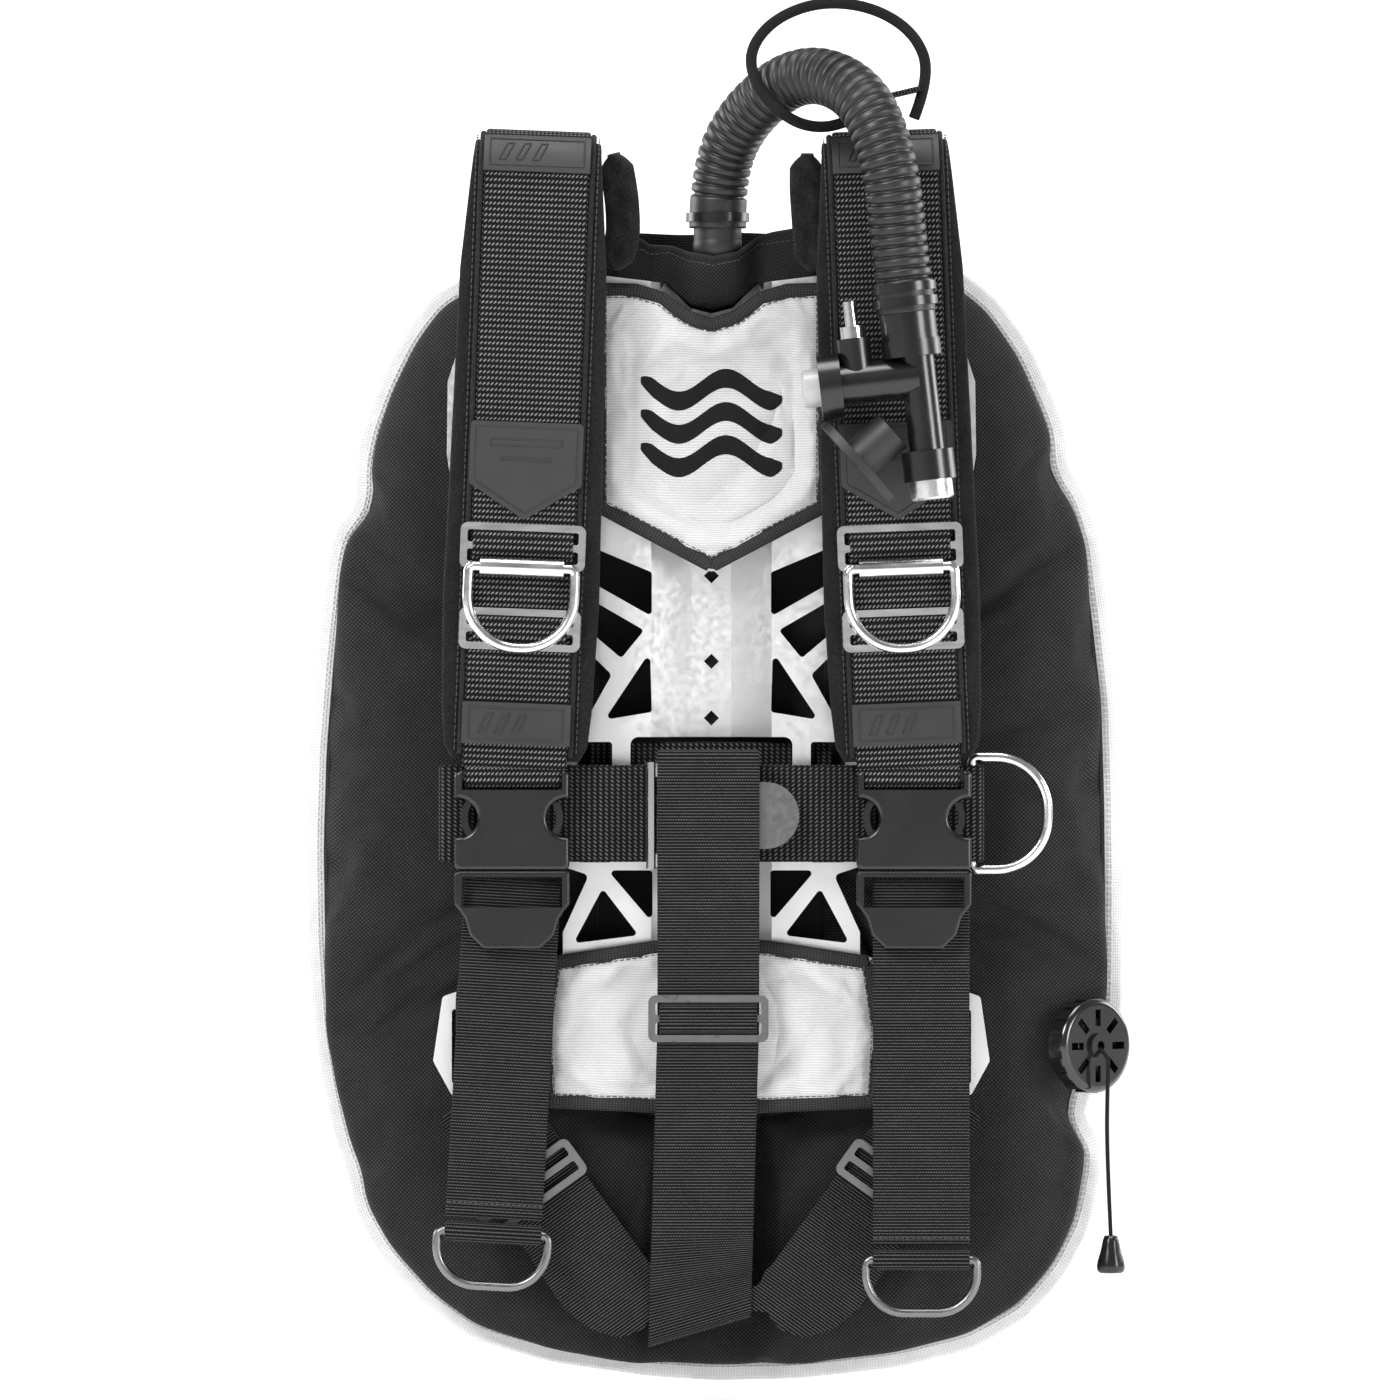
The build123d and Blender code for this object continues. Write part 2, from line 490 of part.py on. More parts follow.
# ---------------------------------------------------------------- inflator
hose_end = Vector(*INFLATOR_END)
last_run = hose_end - Vector(*hose_route[-2])
tie_rings = []
for distance in (5.0, 12.0):
    centre = hose_end - last_run.normalized() * distance
    ring = Cylinder(HOSE_D / 2 + 1.6, 4.2) - Cylinder(HOSE_D / 2 + 0.25, 5)
    tie_rings.append(Plane(centre, z_dir=last_run) * ring)
first_run = Vector(*hose_route[1]) - Vector(*hose_route[0])
ring = Cylinder(HOSE_D / 2 + 1.6, 4.2) - Cylinder(HOSE_D / 2 + 0.25, 5)
tie_rings.append(Plane(Vector(*hose_route[0]) + first_run.normalized() * 5, z_dir=first_run) * ring)
nodes["hose_ties"] = Compound(children=[s for piece in tie_rings for s in piece.solids()])

inflator = Pos(*INFLATOR_END) * Rot(0, -INFLATOR_TILT, 0)   # own frame: -Z down the body
TUBE_U = 2.0
SIDE_W = -30.8
NIPPLE_U = -26.8


def along_w(radius, low, high, u=TUBE_U):
    """A cylinder on the inflator's long axis."""
    return rod((u, 0, low), (u, 0, high), radius)


def along_u(radius, start, end):
    """A cylinder on the inflate valve's axis."""
    return rod((start, 0, SIDE_W), (end, 0, SIDE_W), radius)


cap_low = -80.4
barrel = along_w(13.4, -13, -0.2, 0) + along_w(14.2, -21, -13, 0)
barrel += along_w(8.3, -66, -20) - along_w(6.6, -60, -24) - along_w(2.3, -67, -59)
nodes["inflator_body"] = inflator * barrel
housing = along_u(9.8, -35, TUBE_U) + along_w(7.9, SIDE_W, -9.3, NIPPLE_U)
housing -= along_w(8.3 + GAP, -70, 0)
housing += along_u(15.5, -45.5, -35)
housing -= along_u(9.2, -46, -37.5) + along_u(5.2, -38, -28) + along_u(2.3, -29, -12)
nodes["inflate_valve_housing"] = inflator * housing
cap = along_w(12.5, cap_low, -66.2) - along_w(10.6, cap_low - 1, -73.5)
cap -= along_w(6.0, -74, -69.5) + along_w(2.3, -75, -60)
nodes["inflator_lower_cap"] = inflator * cap

button = along_u(8.9, -53.5, -42) + along_u(2.0, -43, -17)
button = chamfer(button.edges().filter_by(GeomType.CIRCLE).sort_by(Axis.X)[0], 1.0)
nodes["inflate_button"] = inflator * button
nodes["inflate_spring"] = inflator * (
    Pos(-41.2, 0, SIDE_W) * Rot(0, 90, 0) * coil(3.9, 1.0, 12.2, 4))
deflate = along_w(10.3, -89.5, -79) + along_w(2.0, -80, -56) + along_w(5.6, -58.5, -56.5)
deflate = chamfer(deflate.edges().filter_by(GeomType.CIRCLE).sort_by(Axis.Z)[0], 1.0)
nodes["deflate_button"] = inflator * deflate
nodes["deflate_spring"] = inflator * (Pos(TUBE_U, 0, -78.2) * coil(4.4, 1.0, 7.9, 3))

NIPPLE_R = 3.1
nipple = along_w(5.8, -9.1, -3.5, NIPPLE_U) + along_w(NIPPLE_R, -4, 8.4, NIPPLE_U)
nodes["hose_nipple"] = inflator * nipple

mouth_axis = Vector(-0.75, 0, -0.66).normalized()
mouth_plane = Plane(Vector(94.3, INFLATOR_END[1], 129), x_dir=(0, 1, 0), z_dir=mouth_axis)
mouth = extrude(Plane(mouth_plane.origin + mouth_axis * 11, x_dir=(0, 1, 0), z_dir=mouth_axis)
                * Ellipse(10, 10.3), amount=22)
lip = Plane(mouth_plane.origin + mouth_axis * 31, x_dir=(0, 1, 0), z_dir=mouth_axis)
mouth += extrude(lip * Ellipse(13.5, 24.5), amount=4)
bore = Plane(mouth_plane.origin + mouth_axis * 15, x_dir=(0, 1, 0), z_dir=mouth_axis)
mouth -= extrude(bore * Ellipse(6.5, 9.0), amount=25)
nodes["mouthpiece"] = mouth


# ---------------------------------------------------------------- wing dump valve
def on_valve(piece):
    """Move a piece from the valve's frame, outwards along +Z, to the wing."""
    return valve_plane * piece


def disc(radius, low, high):
    """A cylinder on the valve axis between two heights above the wing."""
    return Pos(0, 0, (low + high) / 2) * Cylinder(radius, high - low)


VALVE_R = 23.0
neck = disc(VALVE_NECK_R, -10, 1) + disc(21.0, GAP, 3.0) - disc(VALVE_NECK_R - 2, -11, 4)
nodes["dump_valve_body"] = on_valve(neck)
cover = disc(VALVE_R, 3.0, 13.0)
cover = fillet(cover.edges().filter_by(GeomType.CIRCLE).sort_by(Axis.Z)[-1], 3.5)
cover += disc(6.0, 12, 15)
cover -= disc(20.5, 2, 11.0) + disc(2.4, 2, 20)
for turn in range(8):
    cover -= Rot(0, 0, 45 * turn) * Pos(13.5, 0, 12) * Box(8, 3.5, 8)
for turn in range(18):
    cover -= Rot(0, 0, 20 * turn) * Pos(VALVE_R, 0, 6.5) * Box(2.4, 4, 9)
nodes["dump_valve_cap"] = on_valve(cover)
nodes["dump_valve_disc"] = on_valve(disc(15.0, 3.2, 5.0))
nodes["dump_valve_spring"] = on_valve(Pos(0, 0, 5.6) * coil(6.5, 0.9, 4.9, 2))

cord_start = valve_seat + valve_axis * 5.0
cord_turn = valve_seat + valve_axis * 20.5
dump_route = [tuple(cord_start), (cord_turn.X, cord_turn.Y, cord_turn.Z - 1.0),
              (190.6, -26.0, -191), (190.2, -25.0, -222), (192.2, -25.4, -264)]
nodes["dump_cord"] = cord("dump_cord", dump_route, DUMP_CORD_D)
TOGGLE = Vector(192.2, -25.4, -264)
toggle_profile = make_face(Polyline((0, -18), (6.6, -18), (6.9, -14), (4.2, -3), (3.4, 0), (0, 0),
                                    close=True))
nodes["dump_toggle"] = Pos(*TOGGLE) * revolve(Plane.XZ * toggle_profile, Axis.Z)


# ---------------------------------------------------------------- files
os.makedirs("parts", exist_ok=True)
for name, shape in nodes.items():
    export_step(shape, f"parts/{name}.step")
print(len(nodes), "nodes")
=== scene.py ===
"""Looks of the backplate-and-wing buoyancy compensator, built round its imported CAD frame.

Shapes are worked out in millimetres and turned into metres as each mesh is made.
"""

import bpy
import bmesh
import math
import numpy as np
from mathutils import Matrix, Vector
from mathutils.geometry import delaunay_2d_cdt


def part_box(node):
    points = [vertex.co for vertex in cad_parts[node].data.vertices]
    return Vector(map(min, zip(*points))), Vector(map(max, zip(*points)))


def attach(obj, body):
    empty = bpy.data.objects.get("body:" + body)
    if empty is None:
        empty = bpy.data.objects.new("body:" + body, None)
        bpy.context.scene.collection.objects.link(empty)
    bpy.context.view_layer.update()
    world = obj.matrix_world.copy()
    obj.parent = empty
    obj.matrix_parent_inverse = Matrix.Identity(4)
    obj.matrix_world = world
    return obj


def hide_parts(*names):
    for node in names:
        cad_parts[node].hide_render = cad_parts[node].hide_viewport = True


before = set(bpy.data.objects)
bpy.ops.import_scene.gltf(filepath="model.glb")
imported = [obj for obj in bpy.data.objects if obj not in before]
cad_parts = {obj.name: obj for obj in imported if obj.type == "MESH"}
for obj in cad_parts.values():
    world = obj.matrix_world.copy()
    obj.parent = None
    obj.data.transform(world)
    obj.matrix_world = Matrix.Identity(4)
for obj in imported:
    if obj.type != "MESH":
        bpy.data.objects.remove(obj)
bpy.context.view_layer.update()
rng = np.random.default_rng(7)
scene = bpy.context.scene
X_AXIS = np.array((1.0, 0.0, 0.0))
FRONT = np.array((0.0, -1.0, 0.0))
SIDES = {"left": -1, "right": 1}


# ---------------------------------------------------------------- camera
camera_data = bpy.data.cameras.new("camera")
camera_data.sensor_width = 36
camera_data.lens = 300
camera_data.clip_end = 40
camera = bpy.data.objects.new("camera", camera_data)
scene.collection.objects.link(camera)
camera.location = (-0.0055, -5.64, -0.0062)
camera.rotation_euler = (math.pi / 2, 0, 0)
scene.camera = camera


# ---------------------------------------------------------------- material helpers
def new_material(name):
    material = bpy.data.materials.new(name)
    material.use_nodes = True
    tree = material.node_tree
    return material, tree, tree.nodes["Principled BSDF"]


def feed(tree, socket, value):
    """Link a socket to value, or set it to value."""
    if isinstance(value, bpy.types.NodeSocket):
        tree.links.new(value, socket)
    else:
        socket.default_value = value


def math_node(tree, operation, a, b=0.0, c=0.0):
    node = tree.nodes.new("ShaderNodeMath")
    node.operation = operation
    for socket, value in zip(node.inputs, (a, b, c)):
        feed(tree, socket, value)
    return node.outputs[0]


def coordinate(tree, kind, scale=(1.0, 1.0, 1.0)):
    node = tree.nodes.new("ShaderNodeTexCoord")
    mapping = tree.nodes.new("ShaderNodeMapping")
    mapping.inputs["Scale"].default_value = scale
    tree.links.new(node.outputs[kind], mapping.inputs["Vector"])
    return mapping.outputs[0]


def noise(tree, vector, scale, detail=3.0, rough=0.55):
    node = tree.nodes.new("ShaderNodeTexNoise")
    feed(tree, node.inputs["Vector"], vector)
    node.inputs["Scale"].default_value = scale
    node.inputs["Detail"].default_value = detail
    node.inputs["Roughness"].default_value = rough
    return node.outputs["Fac"]


def remap(tree, value, low, high, to_low, to_high, smooth=False):
    node = tree.nodes.new("ShaderNodeMapRange")
    node.interpolation_type = "SMOOTHSTEP" if smooth else "LINEAR"
    for socket, number in zip(node.inputs[:5], (value, low, high, to_low, to_high)):
        feed(tree, socket, number)
    return node.outputs["Result"]


def mix_color(tree, factor, a, b):
    node = tree.nodes.new("ShaderNodeMix")
    node.data_type = "RGBA"
    feed(tree, node.inputs[0], factor)
    feed(tree, node.inputs[6], a)
    feed(tree, node.inputs[7], b)
    return node.outputs[2]


def bump(tree, height, distance, normal=None):
    node = tree.nodes.new("ShaderNodeBump")
    node.inputs["Strength"].default_value = 1.0
    node.inputs["Distance"].default_value = distance
    feed(tree, node.inputs["Height"], height)
    if normal is not None:
        tree.links.new(normal, node.inputs["Normal"])
    return node.outputs[0]


def grey(level):
    return (level, level, level, 1.0)


def woven(name, dark, light, pitch_u, pitch_v, skew=1.0, low=-0.1, high=0.7, depth=0.0003,
          rough=0.9, cloudy=0.12, sheen=0.02, row_share=0.5):
    """Woven cloth: light thread floats in rows, from UVs measured in metres."""
    material, tree, shader = new_material(name)
    uv = coordinate(tree, "UV")
    parts = tree.nodes.new("ShaderNodeSeparateXYZ")
    tree.links.new(uv, parts.inputs[0])
    turn = 2 * math.pi * 1000
    row_phase = math_node(tree, "MULTIPLY", parts.outputs[1], turn / pitch_v)
    skewed = math_node(tree, "MULTIPLY", row_phase, skew)
    dash_phase = math_node(tree, "MULTIPLY_ADD", parts.outputs[0], turn / pitch_u, skewed)
    row = math_node(tree, "MULTIPLY", math_node(tree, "SINE", row_phase), row_share)
    dash = math_node(tree, "SINE", dash_phase)
    weave = math_node(tree, "MULTIPLY_ADD", dash, 1 - row_share, row)
    thread = remap(tree, weave, low, high, 0.0, 1.0, smooth=True)
    cloud = noise(tree, coordinate(tree, "UV"), 60.0)
    fuzz = noise(tree, coordinate(tree, "UV"), 1500.0, 2.0)
    tone = remap(tree, cloud, 0.3, 0.7, 1 - cloudy, 1 + cloudy)
    uneven = math_node(tree, "MULTIPLY", thread, remap(tree, fuzz, 0.3, 0.7, 0.55, 1.15))
    color = mix_color(tree, uneven, grey(dark), grey(light))
    toned = tree.nodes.new("ShaderNodeVectorMath")
    toned.operation = "SCALE"
    feed(tree, toned.inputs[0], color)
    feed(tree, toned.inputs[3], tone)
    tree.links.new(toned.outputs[0], shader.inputs["Base Color"])
    feed(tree, shader.inputs["Normal"], bump(tree, thread, depth, bump(tree, cloud, 0.0008)))
    shader.inputs["Roughness"].default_value = rough
    shader.inputs["Sheen Weight"].default_value = sheen
    shader.inputs["Sheen Roughness"].default_value = 0.5
    shader.inputs["Specular IOR Level"].default_value = 0.12
    return material


def napped(name, level, depth=0.0006, scale=900.0, sheen=0.05):
    """Short-pile cloth such as a velour edge."""
    material, tree, shader = new_material(name)
    where = coordinate(tree, "Object")
    pile = noise(tree, where, scale, 3.0, 0.7)
    patch = noise(tree, where, 45.0)
    color = mix_color(tree, remap(tree, pile, 0.35, 0.7, 0.0, 1.0), grey(level * 0.55), grey(level * 1.6))
    tree.links.new(color, shader.inputs["Base Color"])
    feed(tree, shader.inputs["Normal"], bump(tree, pile, depth, bump(tree, patch, 0.003)))
    shader.inputs["Roughness"].default_value = 0.95
    shader.inputs["Sheen Weight"].default_value = sheen
    shader.inputs["Specular IOR Level"].default_value = 0.15
    return material


def metal(name, level, rough, grain=(1.0, 1.0, 1.0)):
    """Metal with a faint grain, stretched along the axis whose grain is under 1."""
    material, tree, shader = new_material(name)
    fine = noise(tree, coordinate(tree, "Object", grain), 320.0, 1.5, 0.5)
    broad = noise(tree, coordinate(tree, "Object"), 30.0)
    color = mix_color(tree, remap(tree, broad, 0.3, 0.7, 0.0, 1.0), grey(level * 0.93), grey(level))
    tree.links.new(color, shader.inputs["Base Color"])
    shader.inputs["Metallic"].default_value = 1.0
    feed(tree, shader.inputs["Roughness"], remap(tree, fine, 0.3, 0.7, rough * 0.8, rough * 1.25))
    feed(tree, shader.inputs["Normal"], bump(tree, fine, 0.0000008))
    return material


def moulded(name, level, rough, depth=0.00006, coat=0.0):
    """Moulded plastic or rubber with a fine surface texture."""
    material, tree, shader = new_material(name)
    where = coordinate(tree, "Object")
    fine = noise(tree, where, 1200.0, 2.0)
    broad = noise(tree, where, 40.0)
    color = mix_color(tree, remap(tree, broad, 0.3, 0.7, 0.0, 1.0), grey(level * 0.85), grey(level * 1.15))
    tree.links.new(color, shader.inputs["Base Color"])
    feed(tree, shader.inputs["Roughness"], remap(tree, broad, 0.3, 0.7, rough * 0.9, rough * 1.12))
    feed(tree, shader.inputs["Normal"], bump(tree, fine, depth))
    shader.inputs["Coat Weight"].default_value = coat
    shader.inputs["Coat Roughness"].default_value = 0.15
    return material


WING = woven("wing_cloth", 0.010, 0.046, 1.35, 1.35, skew=0.0, low=-0.2, high=0.8, depth=0.0002)
WEBBING = woven("coarse_webbing", 0.005, 0.21, 1.95, 2.79, skew=1.0, low=0.1, high=0.75, depth=0.0006)
BELT = woven("belt_webbing", 0.005, 0.12, 1.95, 2.79, skew=1.0, low=0.1, high=0.8, depth=0.0005)
FINE_WEB = woven("fine_webbing", 0.004, 0.085, 1.3, 1.47, skew=0.5, low=0.0, high=0.8, depth=0.0004,
                 row_share=0.75)
TWILL = woven("pad_twill", 0.44, 0.72, 1.0, 1.25, skew=1.0, low=-0.6, high=0.6, depth=0.0002,
              cloudy=0.05, sheen=0.0)
TAPE = woven("edge_tape", 0.62, 0.80, 1.1, 1.4, skew=0.0, low=-0.6, high=0.6, depth=0.00015,
             cloudy=0.05, sheen=0.0)
DARK_TAPE = woven("pad_edge_tape", 0.018, 0.050, 1.2, 1.5, skew=0.0, low=-0.5, high=0.7, depth=0.0002)
COLLAR = woven("collar_cloth", 0.010, 0.040, 1.3, 1.3, skew=0.0, low=-0.2, high=0.8, depth=0.0002)
VELOUR = napped("velour", 0.010)
FLEECE = napped("rough_velour", 0.013, depth=0.001, scale=600.0)
PIPING = napped("piping_cord", 0.016, depth=0.0004)
THREAD = moulded("pale_thread", 0.45, 0.7)
DARK_THREAD = moulded("dark_thread", 0.05, 0.7)
PLATE = metal("satin_plate", 0.86, 0.38)
STEEL = metal("satin_steel", 0.72, 0.22, (0.2, 1.0, 1.0))
DARK_STEEL = metal("dark_steel", 0.20, 0.34)
CHROME = metal("chrome", 0.85, 0.12)
SILVER = metal("silver_button", 0.70, 0.30)
PLASTIC = moulded("satin_plastic", 0.005, 0.27, depth=0.00001, coat=0.1)
GLOSS = moulded("gloss_plastic", 0.008, 0.18, depth=0.00001, coat=0.5)
PALE_PLASTIC = moulded("pale_button", 0.40, 0.35, coat=0.2)
RUBBER = moulded("grey_rubber", 0.016, 0.55, depth=0.00003)
DARK_RUBBER = moulded("dark_rubber", 0.012, 0.5, depth=0.00003)
HOSE_RUBBER = moulded("hose_rubber", 0.009, 0.42, depth=0.00003)
EMBROIDERY = woven("embroidery", 0.006, 0.022, 0.9, 0.7, skew=0.3, low=-0.5, high=0.6, depth=0.0003)
CORD = woven("braided_cord", 0.010, 0.06, 1.4, 2.2, skew=0.5, low=-0.4, high=0.6, depth=0.0003)


# ---------------------------------------------------------------- mesh helpers
def add_mesh(name, verts, faces, material, uv=None, body="root", slot=None, replaces=(), smooth=True):
    """A mesh piece from points in mm, riding on a body; uv has one pair in mm for each point."""
    mesh = bpy.data.meshes.new(name)
    mesh.from_pydata((np.asarray(verts, float) * 0.001).tolist(), [], [list(map(int, f)) for f in faces])
    if uv is not None:
        layer = mesh.uv_layers.new(name="UVMap")
        index = np.zeros(len(mesh.loops), np.int32)
        mesh.loops.foreach_get("vertex_index", index)
        layer.data.foreach_set("uv", (np.asarray(uv, float)[index] * 0.001).astype(np.float32).ravel())
    shape = bmesh.new()
    shape.from_mesh(mesh)
    bmesh.ops.recalc_face_normals(shape, faces=shape.faces[:])
    shape.to_mesh(mesh)
    shape.free()
    mesh.polygons.foreach_set("use_smooth", [smooth] * len(mesh.polygons))
    mesh.materials.append(material)
    piece = bpy.data.objects.new(name, mesh)
    scene.collection.objects.link(piece)
    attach(piece, body)
    if replaces:
        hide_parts(*replaces)
    return piece


def set_points(piece, points):
    """Move a mesh piece's points to these, in mm."""
    piece.data.vertices.foreach_set("co", (points * 0.001).astype(np.float32).ravel())
    piece.data.update()


def mesh_points(piece):
    return np.array([tuple(v.co) for v in piece.data.vertices]) * 1000


def unit(v):
    return v / np.maximum(np.linalg.norm(v, axis=-1, keepdims=True), 1e-9)


def run_along(p):
    """The distance from a line's first point to each of its points."""
    return np.concatenate([[0], np.cumsum(np.linalg.norm(np.diff(p, axis=0), axis=1))])


def at_depth(flat, y):
    """Flat (x, z) points as (x, y, z) points."""
    return np.stack([flat[:, 0], np.full(len(flat), y), flat[:, 1]], axis=1)


def closed_line(p):
    return np.vstack([p, p[:1]])


def resample(points, step, closed=False):
    """Points an even step apart along a line."""
    p = np.asarray(points, float)
    if closed:
        p = closed_line(p)
    run = run_along(p)
    count = max(3, int(round(run[-1] / step)) + 1)
    s = np.linspace(0, run[-1], count)
    return np.stack([np.interp(s, run, p[:, k]) for k in range(p.shape[1])], axis=1)


def rounded_path(corners, radii, step=2.0):
    """A bent line through corners, each rounded by its radius, as evenly spaced points."""
    p = [np.array(c, float) for c in corners]
    line = [p[0]]
    for before, corner, after, radius in zip(p, p[1:], p[2:], radii):
        a, b = unit(before - corner), unit(after - corner)
        inside = math.acos(float(np.clip(a @ b, -1, 1)))
        turn = math.pi - inside
        centre = corner + unit(a + b) * radius / math.sin(inside / 2)
        u = unit(corner + a * radius * math.tan(turn / 2) - centre)
        w = unit(corner + b * radius * math.tan(turn / 2) - centre)
        for t in np.linspace(0, 1, max(4, int(radius * turn / step))):
            line.append(centre + radius * (math.sin((1 - t) * turn) * u + math.sin(t * turn) * w)
                        / math.sin(turn))
    line.append(p[-1])
    return resample(line, step)


def smooth_loop(points, count, rounds=2):
    """A closed smooth outline through points, with an even spacing."""
    p = resample(points, 6.0, closed=True)[:-1]
    for _ in range(rounds):
        p = 0.25 * np.roll(p, 1, axis=0) + 0.5 * p + 0.25 * np.roll(p, -1, axis=0)
    p = closed_line(p)
    run = run_along(p)
    s = np.linspace(0, run[-1], count + 1)[:-1]
    return np.stack([np.interp(s, run, p[:, k]) for k in range(2)], axis=1)


def flat_section(width, thick, lines=9, crown=0.0):
    """The outline of flat webbing, (across, outwards)."""
    r = thick / 2
    half = width / 2
    across = np.linspace(r - half, half - r, lines)
    top = [(x, r + crown * (1 - (x / half) ** 2)) for x in across]
    bottom = [(x, -r) for x in across[::-1]]
    right = [(half - r + r * math.cos(a), r * math.sin(a)) for a in np.radians([55, 20, -20, -55])]
    left = [(-x, -z) for x, z in right]
    return np.array(top + right + bottom + left)


def round_section(radius, sides=12):
    a = np.linspace(0, 2 * math.pi, sides, endpoint=False)
    return np.stack([radius * np.cos(a), radius * np.sin(a)], axis=1)


def sweep(name, path, section, side, material, loop=False, width=None, lift=None, **kwargs):
    """A solid band along path. side is its across direction; width scales it along the path."""
    p = np.asarray(path, float)
    if loop:
        tangent = closed_line(unit(np.roll(p, -1, axis=0) - np.roll(p, 1, axis=0)))
        p = closed_line(p)
        side = closed_line(side) if np.ndim(side) == 2 else side
    else:
        tangent = unit(np.gradient(p, axis=0))
    across = np.broadcast_to(np.asarray(side, float), p.shape)
    across = unit(across - (across * tangent).sum(1, keepdims=True) * tangent)
    outward = np.cross(tangent, across)
    run = run_along(p)
    scale = np.ones(len(p)) if width is None else np.asarray(width, float)
    a = section[None, :, 0] * scale[:, None]
    b = np.broadcast_to(section[None, :, 1], a.shape).copy()
    if lift is not None:
        b = b + lift(a, run[:, None], b)
    verts = p[:, None] + a[..., None] * across[:, None] + b[..., None] * outward[:, None]
    n, m = a.shape
    uv = np.stack([a, np.broadcast_to(run[:, None], a.shape)], axis=2).reshape(-1, 2)
    faces = []
    for i in range(n - 1):
        for j in range(m):
            k = (j + 1) % m
            faces.append((i * m + j, i * m + k, (i + 1) * m + k, (i + 1) * m + j))
    if not loop:
        faces.append(tuple(range(m)))
        faces.append(tuple((n - 1) * m + j for j in range(m)))
    return add_mesh(name, verts.reshape(-1, 3), faces, material, uv, **kwargs)


def edge_distance(points, outline):
    """How far each (x, z) point is from a closed outline."""
    best = np.full(len(points), 1e9)
    for a, b in zip(outline, np.roll(outline, -1, axis=0)):
        d = b - a
        t = np.clip(((points - a) @ d) / max(d @ d, 1e-9), 0, 1)
        best = np.minimum(best, np.linalg.norm(points - (a + t[:, None] * d), axis=1))
    return best


def inside(points, outline):
    x, z = points[:, 0], points[:, 1]
    found = np.zeros(len(points), bool)
    for (x0, z0), (x1, z1) in zip(outline, np.roll(outline, -1, axis=0)):
        crosses = (z0 > z) != (z1 > z)
        at = x0 + (z - z0) * (x1 - x0) / np.where(abs(z1 - z0) < 1e-9, 1e-9, z1 - z0)
        found ^= crosses & (x < at)
    return found


def flat_mesh(outline, spacing):
    """Triangles that fill an outline: points, faces, and how many points are on its edge."""
    edge = resample(outline, spacing, closed=True)[:-1]
    low, high = edge.min(0), edge.max(0)
    rows = np.arange(low[1], high[1], spacing * 0.866)
    grid = np.array([(x + (spacing / 2 if i % 2 else 0), z) for i, z in enumerate(rows)
                     for x in np.arange(low[0], high[0], spacing)])
    grid = grid + rng.normal(0, spacing * 0.05, grid.shape)
    grid = grid[inside(grid, edge)]
    grid = grid[edge_distance(grid, edge) > spacing * 0.6]
    points = np.vstack([edge, grid])
    ring = [(i, (i + 1) % len(edge)) for i in range(len(edge))]
    made = delaunay_2d_cdt([Vector(p) for p in points], ring, [], 1, 1e-5)
    return np.array([tuple(v) for v in made[0]]), [tuple(f) for f in made[2]], len(edge)


def slab_mesh(outline, front, back, spacing, height=None):
    """A closed slab: height(distance) gives its share of the full thickness, distance from its edge."""
    flat, triangles, edge = flat_mesh(outline, spacing)
    distance = edge_distance(flat, flat[:edge])
    rise = np.ones(len(flat)) if height is None else height(distance)
    count = len(flat)
    middle = (front + back) / 2
    face = at_depth(flat, middle + (front - middle) * rise)
    rear = at_depth(flat, middle + (back - middle) * rise)
    faces = triangles + [(c + count, b + count, a + count) for a, b, c in triangles]
    faces += [(i, (i + 1) % edge, (i + 1) % edge + count, i + count) for i in range(edge)]
    return np.vstack([face, rear]), faces, np.vstack([flat, flat]), np.concatenate([distance, distance])


def round_corners(outline, radius, step=1.5):
    """A closed outline with rounded corners, as evenly spaced points."""
    p = [np.array((x, z), float) for x, z in outline]
    mid = (p[-1] + p[0]) / 2
    path = [np.array((*mid, 0))] + [np.array((*q, 0)) for q in p] + [np.array((*mid, 0))]
    return rounded_path(path, [radius] * len(p), step)[:-1, :2]


def mirrored(half):
    return list(half) + [(-x, z) for x, z in reversed(half) if x > 0.01]


def stitches(name, path, pitch, length, size, outward, material, body="root"):
    """Short raised stitches in one row along path."""
    p = resample(path, pitch)
    tangent = unit(np.gradient(p, axis=0))
    out = unit(np.broadcast_to(np.asarray(outward, float), p.shape))
    side = unit(np.cross(tangent, out))
    verts, faces = [], []
    for c, t, o, s in zip(p, tangent, out, side):
        base = len(verts)
        for along in (-0.5, -0.32, 0.32, 0.5):
            rise = 0.1 if abs(along) == 0.5 else 1.0
            for a, b in ((-0.5, 0.0), (-0.3, 0.8), (0.3, 0.8), (0.5, 0.0)):
                verts.append(c + t * along * length + s * a * size + o * b * size * rise)
        for i in range(3):
            for j in range(3):
                k = base + 4 * i + j
                faces.append((k, k + 1, k + 5, k + 4))
    return add_mesh(name, verts, faces, material, None, body)


